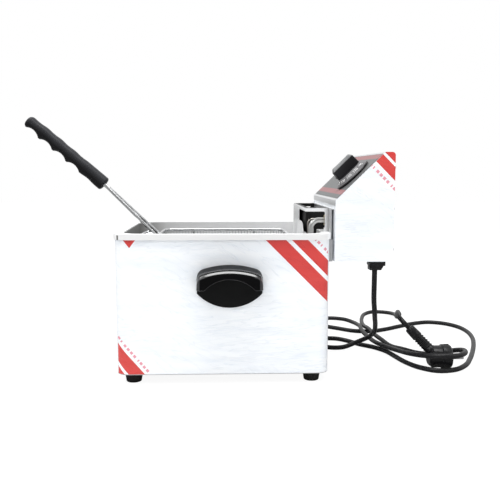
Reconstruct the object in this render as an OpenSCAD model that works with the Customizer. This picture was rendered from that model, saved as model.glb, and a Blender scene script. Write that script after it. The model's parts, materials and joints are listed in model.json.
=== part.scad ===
// Table-top electric deep fryer with a lift-off control head.
// Frame: +Z up, +X from the operator towards the control head, Z = 0 on the table.
// The origin lies under the middle of the whole fryer, from the tip of the basket grip to the back of the head.

/* [Oil tank] */
// Length of the tank's rim, along X
rim_l = 325; // [300:1:420]
// Width of the tank's rim, along Y
rim_w = 265; // [245:1:360]
// Height of the rim above the table
rim_z = 228; // [215:1:300]
// Depth of the tank below its rim
tank_depth = 150; // [140:1:180]
// Width of the flat flange round the tank
flange_w = 12; // [9:0.5:16]
// Height of the lip that hangs from the flange over the case
lip_h = 8.5; // [5:0.5:14]
// Sheet thickness of the tank
tank_t = 0.8; // [0.6:0.1:1.5]
// Radius of the tank's upright corners
tank_corner_r = 28; // [20:1:40]
// Radius between the tank's walls and its floor
tank_floor_r = 12; // [6:1:18]
// Radius of the rim's outer corners
rim_corner_r = 22; // [14:1:28]

/* [Case] */
// Room between the case and the lip, along X
case_gap_x = 1.2; // [0.5:0.1:3]
// Room between the case and the lip, along Y
case_gap_y = 2.4; // [0.5:0.1:4]
// Sheet thickness of the case
case_t = 1; // [0.7:0.1:2]
// Radius of the case's upright corners
case_corner_r = 19; // [12:1:24]
// Width of the fold at the case's bottom edge
case_fold = 9; // [6:0.5:14]
// Room between the tank and the opening in the case's top
tank_play = 1; // [0.5:0.1:3]
// Thickness of the base plate
base_t = 1; // [0.8:0.1:2]
// Length of a vent slot in the base plate
vent_l = 46; // [30:1:60]
// Width of a vent slot in the base plate
vent_w = 4; // [3:0.5:6]
// Distance between vent slots
vent_pitch = 14; // [10:1:24]

/* [Feet] */
// Height of a foot
foot_h = 16; // [10:0.5:24]
// Diameter of a foot at its top
foot_top_d = 28; // [22:1:36]
// Diameter of a foot where it stands on the table
foot_bottom_d = 23; // [18:1:30]
// Distance of the feet's centres from the case's edges
foot_inset = 24; // [20:1:34]

/* [Side handles] */
// Width of a side handle
grab_w = 97; // [80:1:120]
// Height of a side handle
grab_h = 64; // [54:1:76]
// Distance that a side handle stands out
grab_out = 34; // [28:1:42]
// Height of a side handle's middle above the table
grab_z = 150.5; // [110:0.5:170]
// Distance of the side handles from the tank's middle, towards the head
grab_x = 10; // [-20:1:30]
// Thickness of a side handle's back plate
grab_back_t = 5; // [4:0.5:8]
// Wall of a side handle's hood
grab_wall = 4.5; // [3.5:0.5:6]
// Distance between a side handle's two screws
grab_screw_gap = 46; // [36:1:60]

/* [Basket] */
// Length of the basket, along X
basket_l = 217; // [190:1:225]
// Width of the basket, along Y
basket_w = 180; // [150:1:200]
// Depth of the basket
basket_h = 120; // [100:1:126]
// Distance from the rim of the tank down to the rim of the basket
basket_drop = 9; // [4:1:16]
// Diameter of the basket's rim wire
basket_rim_d = 5; // [4:0.5:6]
// Diameter of the basket's frame wires
basket_frame_d = 3.5; // [3:0.5:4.5]
// Wall of the wire mesh
mesh_t = 1.2; // [1:0.1:2]
// Radius of the basket's upright corners
basket_corner_r = 16; // [10:1:24]
// Radius between the basket's walls and its floor
basket_floor_r = 7; // [4:0.5:10]

/* [Basket handle] */
// Angle of the grip above the level
grip_angle = 40.5; // [30:0.5:55]
// Angle above the level of the wire between the basket and the grip
stem_angle = 44; // [30:0.5:58]
// Length of the grip
grip_l = 159; // [130:1:180]
// Width of the grip, along Y
grip_w = 25; // [22:1:30]
// Thickness of the grip
grip_t = 23; // [19:0.5:26]
// Length of wire between the basket and the grip
stem_l = 117; // [90:1:150]
// Diameter of the handle's wires
stem_d = 5; // [4:0.5:6]
// Distance between the two handle wires in the grip
stem_gap = 12; // [10:0.5:15]
// Distance between the two handle wires at the basket
stem_spread = 44; // [30:1:60]
// Depth to which the handle wires run down the basket's end
stem_down = 30; // [20:1:60]
// Diameter of the hook's wire
hook_d = 4; // [3:0.5:5]
// Width of the hook
hook_w = 64; // [50:1:90]
// Distance that the hook stands out from the basket
hook_out = 28; // [18:1:32]
// Height of the hook's shoulders above the basket's rim
hook_up = 4; // [2:0.5:8]
// Depth of a finger groove under the grip
groove_deep = 4; // [2:0.5:5]
// Distance between the finger grooves
groove_pitch = 28; // [24:1:32]
// Radius of the hole that hangs the basket up
hang_hole_r = 4; // [3:0.5:5]

/* [Control head] */
// Length of the head, along X
head_l = 88.5; // [80:0.5:110]
// Width of the head, along Y
head_w = 238; // [210:1:260]
// Height of the head
head_h = 164; // [150:1:190]
// Height of the head's bottom above the table
head_z = 185; // [180:1:190]
// Height of the head's front wall
head_front_h = 92; // [85:1:100]
// Length of the level strip at the top of the head
head_top_l = 15; // [8:1:25]
// Distance from the tank's rim to the head's front wall
head_gap = 5.5; // [5:0.1:8]
// Sheet thickness of the head
head_t = 1; // [0.8:0.1:1.5]
// Thickness of the printed overlay on the sloping panel
overlay_t = 0.5; // [0.3:0.1:1]

/* [Knob] */
// Diameter of the knob's skirt
knob_d = 62; // [50:1:70]
// Height of the knob
knob_h = 29; // [24:1:34]
// Height of the knob's skirt
skirt_h = 8; // [6:0.5:10]
// Length of the knob's finger bar
bar_l = 43; // [34:1:50]
// Width of the knob's finger bar at its top
bar_w = 13; // [10:0.5:18]
// Distance of the knob's axis from the middle of the head, towards the near side
knob_y = 64; // [50:1:75]
// Diameter of the thermostat's shaft
shaft_d = 6; // [5:0.5:8]
// Play between the shaft and what it turns in
shaft_play = 0.05; // [0.02:0.01:0.1]
// Gap between the knob and the panel
knob_gap = 1.2; // [0.8:0.1:2.5]

/* [Lamps and reset button] */
// Diameter of an indicator lamp's lens
lamp_d = 12; // [9:0.5:16]
// Distance from the head's middle to the first lamp
lamp_y = 14; // [10:1:20]
// Distance between the two lamps
lamp_gap = 46; // [30:1:60]
// Diameter of the reset button
reset_d = 6; // [5:0.5:8]
// Travel of the reset button
reset_travel = 3; // [2:0.5:4]

/* [Heating element] */
// Diameter of the heating element's tube
heater_d = 8; // [6.5:0.1:9]
// Distance between neighbouring runs of the element
heater_pitch = 50; // [40:1:54]
// Height of the runs' middle above the tank's floor
heater_lift = 11; // [9:0.5:14]
// Distance from the tank's end wall to the element's upright legs
leg_gap = 13; // [11:0.5:18]
// Thickness of the two bars that tie the runs and carry the basket
tie_bar_t = 2; // [1.5:0.5:3]

/* [Element guard] */
// Distance from the head's front wall to the guard's front plate
guard_l = 41; // [38:1:48]
// Width of the guard
guard_w = 171; // [150:1:185]
// Height of the guard above the rim
guard_h = 36; // [30:1:44]
// Sheet thickness of the guard
guard_t = 1; // [0.8:0.1:1.5]

/* [Mains cord] */
// Diameter of the mains cord
cord_d = 8.2; // [7:0.1:9]
// Diameter of the plug's body
plug_d = 40; // [37:0.5:42]
// Length of the plug's body
plug_l = 36; // [32:1:44]
// Length of a plug pin
pin_l = 19; // [17:0.5:19]
// Diameter of a plug pin
pin_d = 4.8; // [4:0.1:5]

/* [Hidden] */

$fn = 48;
// Overlap that lets one shape cut cleanly through another
cut = 1;
// Gap between faces of pieces that slide past or rest on each other
rest_gap = 0.3;

// Case
case_l = rim_l - 2*tank_t - 2*case_gap_x;
case_w = rim_w - 2*tank_t - 2*case_gap_y;
case_top = rim_z - tank_t - rest_gap;
case_bottom = foot_h + base_t;
foot_x = case_l/2 - foot_inset;
foot_y = case_w/2 - foot_inset;
foot_screw_r = 2;
foot_screw_head_r = 4.5;
foot_screw_head_h = 3;
foot_recess_r = foot_screw_head_r + 1.5;
foot_web = 5;

// Tank
tank_in_l = rim_l - 2*flange_w;
tank_in_w = rim_w - 2*flange_w;
tank_floor_z = rim_z - tank_depth;

// Side handles
grab_top_r = 88;
grab_bottom_r = 67;
hood_arc_r = 50;
hood_arc_drop = 22.5;
hood_side_drop = 41.5;
hood_slope = 12;
grab_screw_r = 2;

// Basket
basket_top = rim_z - basket_drop;
basket_x = 2;
basket_end_x = basket_x - basket_l/2;
frame_x = basket_l/4;

// Basket handle, in the plane y = 0
stem_foot_z = basket_top - basket_rim_d/2;
stem_in_grip = 34;
stem_start_x = basket_end_x - stem_d/2;
stem_run = 8;
grip_corner_r = 8;
grip_slot_l = 9;
grip_slot_h = 5;
grip_x = stem_start_x - stem_l*cos(stem_angle);
grip_z = stem_foot_z + stem_l*sin(stem_angle);
tip_x = grip_x - (grip_l - grip_corner_r)*cos(grip_angle) - (grip_t/2 - grip_corner_r)*sin(grip_angle) - grip_corner_r;

// Control head
head_x = rim_l/2 + head_gap;
head_back_x = head_x + head_l;
slope_l = norm([head_l - head_top_l, head_h - head_front_h]);
slope_a = atan2(head_h - head_front_h, head_l - head_top_l);
head_corner_r = 5;
cover_fold = 8;
screw_head_r = 3.5;
screw_head_h = 2;
screw_inset = 9;
screw_up = [18, 80, 142];
screw_tab_l = 16;
screw_tab_h = 20;

// Hanger plate and rails
rail_t = 1;
plate_x = rim_l/2 + 0.8;
plate_t = 1.5;
plate_w = head_w - 28;
rail_h = rim_z - lip_h - 2 - head_z;
rail_lip = 9;

// Knob and thermostat, along the panel and away from it
knob_u = slope_l/2;
thermo_l = 42;
thermo_w = 36;
thermo_deep = 22;
bush_r = 5;
bush_h = 6;
shaft_in = 12;
shaft_out = 18;
knob_base = overlay_t + knob_gap;
bar_cut_r = 90;
bar_scoop = 2.5;
skirt_bevel = 4;

// Lamps and reset
lamp_rim = 2;
lamp_rim_h = 2;
lamp_out = 3;
lamp_body_l = 24;
lamp_seat = 6;
lamp_lens_d = lamp_d - 3;
reset_y = -60;
reset_up = 40;
reset_z = head_z + reset_up;
reset_out = 4;
reset_in = 6;
reset_barrel_r = 4.5;
reset_bush_r = 7;
reset_bush_h = 4;
limit_deep = 26;
limit_r = 15;

// Heating element
heater_z = tank_floor_z + heater_lift;
leg_x = tank_in_l/2 - leg_gap;
heater_far_x = -tank_in_l/2 + heater_d + 10;
heater_near_x = leg_x - 12;
leg_y = 1.5*heater_pitch;
leg_top_z = rim_z + 17;
leg_bend_r = 12;
nut_r = 8;
nut_l = 6;
tie_bar_w = 14;
bulb_d = 6;
bulb_l = 90;
bulb_y = heater_pitch;
capillary_d = 2.5;

// Element guard
guard_x = head_x - guard_l;
guard_top = rim_z + guard_h;
guard_foot_gap = 20;
guard_foot = heater_z + heater_d/2 + guard_foot_gap;
window_rail = 6;
guard_window_y0 = 1;
guard_window_y1 = 62;
guard_window_drop = 6;
guard_window_h = 18;
guard_slot_l = 14;
guard_slot_w = 4;
guard_slot_pitch_y = 20;
guard_slot_pitch_z = 12;

// Cord and plug
gland_x = 237;
gland_y = -84;
gland_z = head_z;
gland_l = 25;
gland_w = 21;
gland_h = 17;
gland_flange_h = 10;
plug_pos = [353, -57, plug_d/2];
neck_foot = [341, -59, 28];
pin_gap = 19;
// The cord's route, from the gland to the neck of the plug
cord_route = [
    [237, -84, 168], [237, -84, 145], [238, -80, 120], [243, -65, 98], [251, -35, 78], [260, 0, 60],
    [266, 32, 41], [262, 56, 25], [242, 68, 12], [218, 62, 5], [194, 62, 4.3], [176, 78, 4.3],
    [172, 104, 4.3], [188, 126, 4.3], [214, 126, 4.3], [234, 108, 4.3], [250, 84, 4.3], [272, 62, 4.3],
    [288, 34, 4.3], [296, 0, 4.3], [304, -34, 4.3], [318, -64, 4.3], [342, -84, 4.3], [372, -80, 4.3],
    [398, -56, 4.3], [420, -18, 4.3], [442, 28, 4.3], [462, 76, 4.3], [478, 124, 4.3], [486, 172, 4.3],
    [482, 214, 4.3], [464, 244, 4.3], [434, 258, 4.3], [398, 246, 4.3], [362, 222, 4.3],
    [328, 198, 4.3], [294, 182, 4.3], [262, 186, 4.3], [234, 208, 4.3], [208, 232, 4.3],
    [195, 260, 4.3], [204, 290, 4.3], [232, 304, 4.3], [260, 292, 4.3], [275, 262, 4.3],
    [278, 225, 7.5], [274, 190, 13.4], [270, 150, 13.4], [271, 105, 13.4], [276, 62, 13.4],
    [288, 28, 13.8], [299, -8, 17], [309, -46, 22], [326, -74, 26], [350, -88, 29], [374, -86, 29],
    [391, -71, 29], [396, -50, 28], [384, -30, 22], [358, -22, 14], [334, -8, 12], [314, 18, 12],
    [300, 48, 10], [291, 84, 13.4], [287, 125, 13.4], [286, 170, 13.4], [288, 212, 7.5],
    [292, 255, 4.3], [301, 300, 4.3], [316, 342, 4.3], [340, 366, 4.3], [368, 358, 4.6],
    [378, 328, 7.5], [372, 286, 13], [362, 242, 20], [352, 198, 30], [341, 152, 42], [329, 105, 54],
    [316, 55, 66], [302, 14, 79], [295, -14, 79], [298, -32.4, 73.5], [307, -38, 64]
];

// The tank's middle in the part's frame
tank_x = -(tip_x + head_back_x + reset_bush_h + reset_out)/2;

// ---- helpers ----

// Puts a piece that is drawn about the tank's middle into the part's frame
module at_tank() { translate([tank_x, 0, 0]) children(); }

// Rounded rectangle about the origin
module round_rect(l, w, r) {
    square([l - 2*r, w], center = true);
    square([l, w - 2*r], center = true);
    for (sx = [-1, 1], sy = [-1, 1]) translate([sx*(l/2 - r), sy*(w/2 - r)]) circle(r);
}

// Flat ring between two rounded rectangles
module round_ring(l, w, r, inset, r_in) {
    difference() {
        round_rect(l, w, r);
        round_rect(l - 2*inset, w - 2*inset, r_in);
    }
}

function unit(v) = v/norm(v);
// Length that a bend of radius r takes from each leg at corner b of a path
function bend_len(a, b, c, r) =
    let (u = unit(b - a), v = unit(c - b))
    r*tan(acos(max(-1, min(1, u*v)))/2);

// Round bar or tube of diameter d along a path of points; r is its bend radius, or one for each corner
module bent_rod(d, path, r) {
    n = len(path);
    function bend(i) = is_list(r) ? r[i - 1] : r;
    for (i = [0:n - 2]) {
        u = unit(path[i + 1] - path[i]);
        a = i == 0 ? 0 : bend_len(path[i - 1], path[i], path[i + 1], bend(i));
        b = i == n - 2 ? 0 : bend_len(path[i], path[i + 1], path[i + 2], bend(i + 1));
        if (norm(path[i + 1] - path[i]) - a - b > 0.01) rod(d, path[i] + a*u, path[i + 1] - b*u);
    }
    for (i = [1:n - 2]) elbow(d, path[i - 1], path[i], path[i + 1], bend(i));
}

// Straight round bar between two points
module rod(d, from, to) {
    v = to - from;
    translate(from)
        rotate([0, acos(v[2]/norm(v)), atan2(v[1], v[0])])
            cylinder(d = d, h = norm(v));
}

// Bend between the legs a-b and b-c of a bar
module elbow(d, a, b, c, r) {
    u = unit(b - a);
    v = unit(c - b);
    n = unit(cross(u, v));
    w = cross(n, u);
    turn = acos(u*v);
    m = b - bend_len(a, b, c, r)*u + r*w;
    multmatrix([[-w[0], u[0], n[0], m[0]],
                [-w[1], u[1], n[1], m[1]],
                [-w[2], u[2], n[2], m[2]]])
        rotate_extrude(angle = turn) translate([r, 0]) circle(d = d);
}

// Points of a bend of radius r at corner b of a path a-b-c
function bend_points(a, b, c, r, steps) =
    let (u = unit(b - a), v = unit(c - b), n = unit(cross(u, v)), w = cross(n, u),
         turn = acos(u*v), m = b - bend_len(a, b, c, r)*u + r*w)
    [for (k = [0:steps]) m - r*cos(turn*k/steps)*w + r*sin(turn*k/steps)*u];

// Round wire of diameter d bent along a path in any direction
module bent_wire(d, path, r) {
    n = len(path);
    path_tube(d, [
        path[0],
        for (i = [1:n - 2]) each bend_points(path[i - 1], path[i], path[i + 1], r, 5),
        path[n - 1]], 12);
}

// Unit direction at point i of a path
function path_dir(p, i) =
    unit((i == 0 ? [0, 0, 0] : unit(p[i] - p[i - 1])) + (i == len(p) - 1 ? [0, 0, 0] : unit(p[i + 1] - p[i])));

// Side directions along a path, each turned as little as possible from the one before
function path_sides(p) =
    [for (i = 0, n = unit(cross(path_dir(p, 0), [0, 1, 0]));
          i < len(p);
          i = i + 1, n = i < len(p) ? unit(n - (n*path_dir(p, i))*path_dir(p, i)) : n) n];

// Tube of diameter d along a path, as one closed skin with a ring at each of its points
module path_tube(d, p, sides) {
    n = path_sides(p);
    last = len(p) - 1;
    points = [for (i = [0:last], k = [0:sides - 1])
        let (a = 360*k/sides) p[i] + d/2*(cos(a)*n[i] + sin(a)*cross(path_dir(p, i), n[i]))];
    faces = concat(
        [[for (k = [0:sides - 1]) k]],
        [for (i = [0:last - 1], k = [0:sides - 1])
            let (a = i*sides + k, b = i*sides + (k + 1)%sides) [a, a + sides, b + sides, b]],
        [[for (k = [sides - 1:-1:0]) last*sides + k]]);
    polyhedron(points = points, faces = faces, convexity = 10);
}

// ---- case ----

module case_shell() {
    at_tank() color("whitesmoke") difference() {
        union() {
            translate([0, 0, case_bottom]) linear_extrude(case_top - case_bottom)
                round_ring(case_l, case_w, case_corner_r, case_t, case_corner_r - case_t);
            translate([0, 0, case_bottom]) linear_extrude(case_t)
                round_ring(case_l, case_w, case_corner_r, case_fold, case_corner_r - case_fold);
            translate([0, 0, case_top - case_t]) linear_extrude(case_t) difference() {
                round_rect(case_l, case_w, case_corner_r);
                round_rect(tank_in_l + 2*(tank_t + tank_play), tank_in_w + 2*(tank_t + tank_play),
                           tank_corner_r + tank_t + tank_play);
            }
        }
        for (side = [-1, 1], s = [-1, 1])
            translate([grab_x + s*grab_screw_gap/2, side*case_w/2, grab_z]) rotate([90, 0, 0])
                cylinder(r = grab_screw_r, h = 4*case_t, center = true);
    }
}

module base_plate() {
    at_tank() color("silver") translate([0, 0, foot_h]) difference() {
        linear_extrude(base_t) round_rect(case_l, case_w, case_corner_r);
        for (sx = [-1, 1], sy = [-1, 1]) translate([sx*foot_x, sy*foot_y, -cut])
            cylinder(r = foot_screw_r, h = base_t + 2*cut);
        vents = floor((case_l/2 - foot_inset)/vent_pitch) - 2;
        for (i = [-vents:vents], side = [-1, 1])
            translate([i*vent_pitch, side*vent_l*0.75, -cut]) linear_extrude(base_t + 2*cut)
                round_rect(vent_w, vent_l, vent_w/2 - 0.01);
    }
}

// Tapered foot with a sunk seat for its screw
module foot() {
    rotate_extrude() difference() {
        polygon([[0, 0], [foot_bottom_d/2, 0], [foot_top_d/2, foot_h], [0, foot_h]]);
        translate([-cut, -cut]) square([foot_recess_r + cut, foot_h - foot_web + cut]);
        translate([-cut, 0]) square([foot_screw_r + 0.2 + cut, foot_h + cut]);
    }
}

module at_feet() {
    for (sx = [-1, 1], sy = [-1, 1]) translate([sx*foot_x, sy*foot_y, 0]) children();
}

module feet() { at_tank() color("#1c1c1c") at_feet() foot(); }

module foot_screws() {
    at_tank() color("silver") at_feet() {
        translate([0, 0, foot_h - foot_web - foot_screw_head_h])
            cylinder(r = foot_screw_head_r, h = foot_screw_head_h);
        translate([0, 0, foot_h - foot_web]) cylinder(r = foot_screw_r - 0.1, h = foot_web + base_t + 4);
        translate([0, 0, foot_h + base_t]) cylinder(r = 4, h = 3, $fn = 6);
    }
}

// ---- side handles ----

// Outline of a side handle, seen from the front, with its middle at the origin
module grab_outline() {
    intersection() {
        translate([0, grab_h/2 - grab_top_r]) circle(grab_top_r);
        translate([0, -grab_h/2 + grab_bottom_r]) circle(grab_bottom_r);
        square([grab_w, grab_h + 2*cut], center = true);
    }
}

// Arch of the hood's lower edge, drawn smaller by a wall for the finger pocket behind it
module hood_arch(wall) {
    translate([0, grab_h/2 - hood_arc_drop - hood_arc_r]) circle(hood_arc_r - wall);
}

// A side handle whose back lies in the plane y = 0 and whose hood stands out towards -Y
module side_handle() {
    rotate([90, 0, 0]) difference() {
        intersection() {
            linear_extrude(grab_out) grab_outline();
            translate([-grab_w/2 - cut, 0, 0]) rotate([90, 0, 90]) linear_extrude(grab_w + 2*cut)
                polygon([[-grab_h/2 - cut, 0], [grab_h/2 + cut, 0], [grab_h/2 - 1, grab_out*0.45],
                         [grab_h/2 - 5, grab_out*0.8], [grab_h/2 - hood_slope, grab_out],
                         [-grab_h/2 - cut, grab_out]]);
        }
        translate([0, 0, grab_back_t]) linear_extrude(grab_out) hood_arch(0);
        translate([-grab_w, -grab_h, grab_back_t])
            cube([2*grab_w, grab_h + grab_h/2 - hood_side_drop, grab_out]);
        translate([0, 0, grab_back_t]) linear_extrude(grab_out - grab_back_t - grab_wall) intersection() {
            square([grab_w - 2*grab_wall, grab_h], center = true);
            translate([0, grab_h/2 - hood_arc_drop - hood_arc_r]) circle(hood_arc_r + 9);
        }
        for (s = [-1, 1]) translate([s*grab_screw_gap/2, 0, -cut])
            cylinder(r = grab_screw_r, h = grab_back_t + 2*cut);
    }
}

module side_handle_near() {
    at_tank() color("#141414") translate([grab_x, -case_w/2, grab_z]) side_handle();
}

module side_handle_far() {
    at_tank() color("#141414") translate([grab_x, case_w/2, grab_z]) mirror([0, 1, 0]) side_handle();
}

// ---- rails on the case that the head slides into ----

module head_rails() {
    x0 = case_l/2;
    x1 = plate_x + plate_t + 0.7 + rail_t;
    w = plate_w/2 + 1.5;
    at_tank() color("silver") {
        translate([x0, 0, head_z]) linear_extrude(rail_h) {
            translate([0, -w - rail_t]) square([rail_t, 2*(w + rail_t)]);
            for (s = [-1, 1]) {
                translate([0, s*(w + rail_t/2) - rail_t/2]) square([x1 - x0, rail_t]);
                translate([x1 - x0 - rail_t, s*(w + rail_t - rail_lip/2) - rail_lip/2]) square([rail_t, rail_lip]);
            }
        }
        translate([x0, -w - rail_t, head_z - rail_t]) cube([x1 - x0, 2*(w + rail_t), rail_t]);
    }
}

// ---- tank ----

// Wall and floor edge of a pan as a profile: x out from the corner's centre, y up from the floor
module pan_profile(h, r, f, t) {
    translate([r, f]) square([t, h - f]);
    intersection() {
        translate([r - f, f]) difference() { circle(f + t); circle(f); }
        translate([r - f, -t]) square([f + t, f + t]);
    }
}

// Open pan of inside length l, width w and height h, with its inner floor at the height 0
module pan(l, w, h, r, f, t) {
    hx = l/2 - r;
    hy = w/2 - r;
    for (i = [0:3]) translate([(i == 0 || i == 3 ? 1 : -1)*hx, (i < 2 ? 1 : -1)*hy, 0]) rotate([0, 0, 90*i]) {
        rotate_extrude(angle = 90) pan_profile(h, r, f, t);
        rotate([90, 0, 0]) linear_extrude(2*(i % 2 == 0 ? hy : hx)) pan_profile(h, r, f, t);
    }
    translate([0, 0, -t]) linear_extrude(t) round_rect(l - 2*f, w - 2*f, r - f);
}

module oil_tank() {
    at_tank() color("gainsboro") {
        translate([0, 0, tank_floor_z])
            pan(tank_in_l, tank_in_w, tank_depth, tank_corner_r, tank_floor_r, tank_t);
        translate([0, 0, rim_z - tank_t]) linear_extrude(tank_t) difference() {
            round_rect(rim_l, rim_w, rim_corner_r);
            round_rect(tank_in_l + tank_t, tank_in_w + tank_t, tank_corner_r + tank_t/2);
        }
        translate([0, 0, rim_z - lip_h]) linear_extrude(lip_h)
            round_ring(rim_l, rim_w, rim_corner_r, tank_t, rim_corner_r - tank_t);
    }
}

// ---- basket ----

module basket_mesh() {
    at_tank() color("lightgray") translate([basket_x, 0, basket_top - basket_h + mesh_t])
        pan(basket_l - basket_rim_d - 2*mesh_t, basket_w - basket_rim_d - 2*mesh_t,
            basket_h - basket_rim_d - mesh_t, basket_corner_r - mesh_t, basket_floor_r, mesh_t);
}

// Closed loop of round bar round a rounded rectangle, measured to the bar's middle
module rod_loop(d, l, w, r) {
    for (i = [0:3]) {
        cx = ((i == 0 || i == 3) ? 1 : -1)*(l/2 - r);
        cy = (i < 2 ? 1 : -1)*(w/2 - r);
        translate([cx, cy, 0]) rotate([0, 0, 90*i]) {
            rotate_extrude(angle = 90) translate([r, 0]) circle(d = d);
            translate([r, 0, 0]) rotate([90, 0, 0]) cylinder(d = d, h = (i % 2 == 0 ? w : l) - 2*r);
        }
    }
}

module basket_rim() {
    at_tank() color("silver") translate([basket_x, 0, basket_top - basket_rim_d/2])
        rod_loop(basket_rim_d, basket_l - basket_rim_d, basket_w - basket_rim_d, basket_corner_r);
}

// Two hoops of wire that run down one side of the mesh, under it and up the other side
module basket_frame() {
    d = basket_frame_d;
    w = (basket_w - basket_rim_d)/2 + d/2;
    z0 = basket_top - basket_h - d/2;
    z1 = basket_top - basket_rim_d - 1;
    at_tank() color("silver") for (s = [-1, 1])
        bent_rod(d, [for (p = [[-w, z1], [-w, z0], [w, z0], [w, z1]]) [basket_x + s*frame_x, p[0], p[1]]],
                 basket_floor_r + mesh_t + d/2);
}

// Point in the grip's line, a distance t from the grip's lower end and y to the side
function grip_point(t, y) = [grip_x - t*cos(grip_angle), y, grip_z + t*sin(grip_angle)];

// Two wires from the basket's end wall up into the grip
module handle_stem() {
    at_tank() color("silver") for (s = [-1, 1]) bent_wire(stem_d, [
        [stem_start_x, s*stem_spread/2, stem_foot_z - stem_down],
        [stem_start_x, s*stem_spread/2, stem_foot_z],
        grip_point(-stem_run, s*stem_gap/2),
        grip_point(stem_in_grip, s*stem_gap/2)], 14);
}

// Wire loop at the basket's end that hangs it on the tank's rim to drain
module basket_hook() {
    x0 = basket_end_x - hook_d/2;
    x1 = basket_end_x - hook_out;
    z = basket_top + hook_up;
    at_tank() color("silver") bent_wire(hook_d, [
        [x0, -hook_w/2, stem_foot_z - stem_down], [x0, -hook_w/2, z], [x1, -hook_w/2, z - 2*hook_up],
        [x1, hook_w/2, z - 2*hook_up], [x0, hook_w/2, z], [x0, hook_w/2, stem_foot_z - stem_down]], 8);
}

module handle_grip() {
    groove_r = 20;
    wave_r = 60;
    wave_deep = 0.8;
    grooves = 4;
    first = 18;
    at_tank() color("#161616") translate(grip_point(0, 0)) rotate([0, 180 + grip_angle, 0]) difference() {
        intersection() {
            rotate([90, 0, 0]) linear_extrude(grip_w + 2*cut, center = true) difference() {
                translate([grip_l/2, 0]) round_rect(grip_l, grip_t, grip_corner_r);
                for (i = [0:grooves - 1]) {
                    translate([grip_l - first - i*groove_pitch, grip_t/2 + groove_r - groove_deep]) circle(groove_r);
                    translate([grip_l - first - i*groove_pitch, -grip_t/2 - wave_r + wave_deep]) circle(wave_r);
                }
            }
            linear_extrude(grip_t + 2*cut, center = true)
                translate([grip_l/2, 0]) round_rect(grip_l, grip_w, 9);
        }
        translate([grip_slot_l/2 - cut, 0, 0])
            cube([grip_slot_l + 2*cut, grip_w + 2*cut, grip_slot_h], center = true);
        for (s = [-1, 1]) translate([-cut, s*stem_gap/2, 0]) rotate([0, 90, 0])
            cylinder(d = stem_d, h = stem_in_grip + cut);
        translate([grip_l - 13, 0, 0]) rotate([90, 0, 0])
            cylinder(r = hang_hole_r, h = grip_w + 2*cut, center = true);
    }
}

// ---- control head ----

// Side view of the head's outside, x from its front wall and y from its bottom, shrunk by a wall
module head_outline(wall) {
    k = wall*tan((90 - slope_a)/2);
    difference() {
        polygon([[wall, wall], [head_l - wall, wall], [head_l - wall, head_h - wall],
                 [head_l - head_top_l + wall*tan(slope_a/2), head_h - wall], [wall, head_front_h - k]]);
        translate([head_l - wall, wall]) mirror([1, 0]) head_corner(head_corner_r - wall);
        translate([head_l - wall, head_h - wall]) mirror([1, 0]) mirror([0, 1]) head_corner(head_corner_r - wall);
    }
}

// What rounding takes from a square corner
module head_corner(r) {
    difference() {
        translate([-cut, -cut]) square(r + cut);
        translate([r, r]) circle(r);
    }
}

// Solid with the head's side view and a width
module head_prism(wall, w) {
    translate([head_x, 0, head_z]) rotate([90, 0, 0]) linear_extrude(w, center = true) head_outline(wall);
}

// Places a piece on the sloping panel: x up the slope, y as the head's, z out of the panel
module on_panel(u, y) {
    translate([head_x, y, head_z + head_front_h]) rotate([0, -slope_a, 0]) translate([u, 0, 0]) children();
}

// Region of the folded cover: everything behind the front wall and above the bottom
module cover_zone() {
    translate([head_x, 0, head_z]) rotate([90, 0, 0]) linear_extrude(head_w + 2*cut, center = true)
        polygon([[-cut, head_front_h - cover_fold], [head_t, head_front_h - cover_fold],
                 [head_t, head_front_h - 3*cover_fold], [head_l - head_t, head_front_h - 3*cover_fold],
                 [head_l - head_t, -cut], [head_l + cut, -cut], [head_l + cut, head_h + cut],
                 [-cut, head_h + cut]]);
}

module panel_holes() {
    on_panel(knob_u, -knob_y) cylinder(r = bush_r + 0.1, h = 6*head_t, center = true);
    for (i = [0, 1]) on_panel(knob_u, lamp_y + i*lamp_gap) cylinder(d = lamp_d + 0.2, h = 6*head_t, center = true);
}

// Tabs inside the side walls that take the cover's screws
module screw_tabs() {
    for (s = [-1, 1], u = screw_up)
        translate([head_back_x - 2*head_t, s*(head_w/2 - head_t - screw_tab_l/2) - screw_tab_l/2,
                   head_z + u - screw_tab_h/2])
            cube([head_t, screw_tab_l, screw_tab_h]);
}

// Side walls, front wall and bottom, folded from one sheet
module head_body() {
    at_tank() color("whitesmoke") {
        screw_tabs();
        difference() {
            head_prism(0, head_w);
            head_prism(head_t, head_w - 2*head_t);
            cover_zone_inner();
            translate([gland_x, gland_y, gland_z]) cylinder(d = cord_d + 4, h = 4*head_t, center = true);
            for (s = [-1, 1]) translate([head_x, s*leg_y, leg_top_z]) rotate([0, 90, 0])
                cylinder(d = heater_d + 0.2, h = 6*head_t, center = true);
            for (s = [-1, 1]) translate([head_x, s*bulb_y, leg_top_z]) rotate([0, 90, 0])
                cylinder(d = capillary_d + 0.2, h = 6*head_t, center = true);
        }
    }
}

// What the folded cover fills between the two side walls
module cover_zone_inner() {
    intersection() {
        cover_zone();
        translate([head_x + head_l/2, 0, head_z + head_h/2])
            cube([head_l + 4*cut, head_w - 2*head_t, head_h + 4*cut], center = true);
    }
}

// Sloping panel, top and rear wall, folded from one sheet that fits between the side walls
module head_cover() {
    at_tank() color("gainsboro") difference() {
        intersection() {
            difference() {
                head_prism(0, head_w - 2*head_t);
                head_prism(head_t, head_w);
            }
            cover_zone();
        }
        panel_holes();
        translate([head_back_x, reset_y, reset_z]) rotate([0, 90, 0])
            cylinder(r = reset_barrel_r + 0.1, h = 6*head_t, center = true);
    }
}

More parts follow.
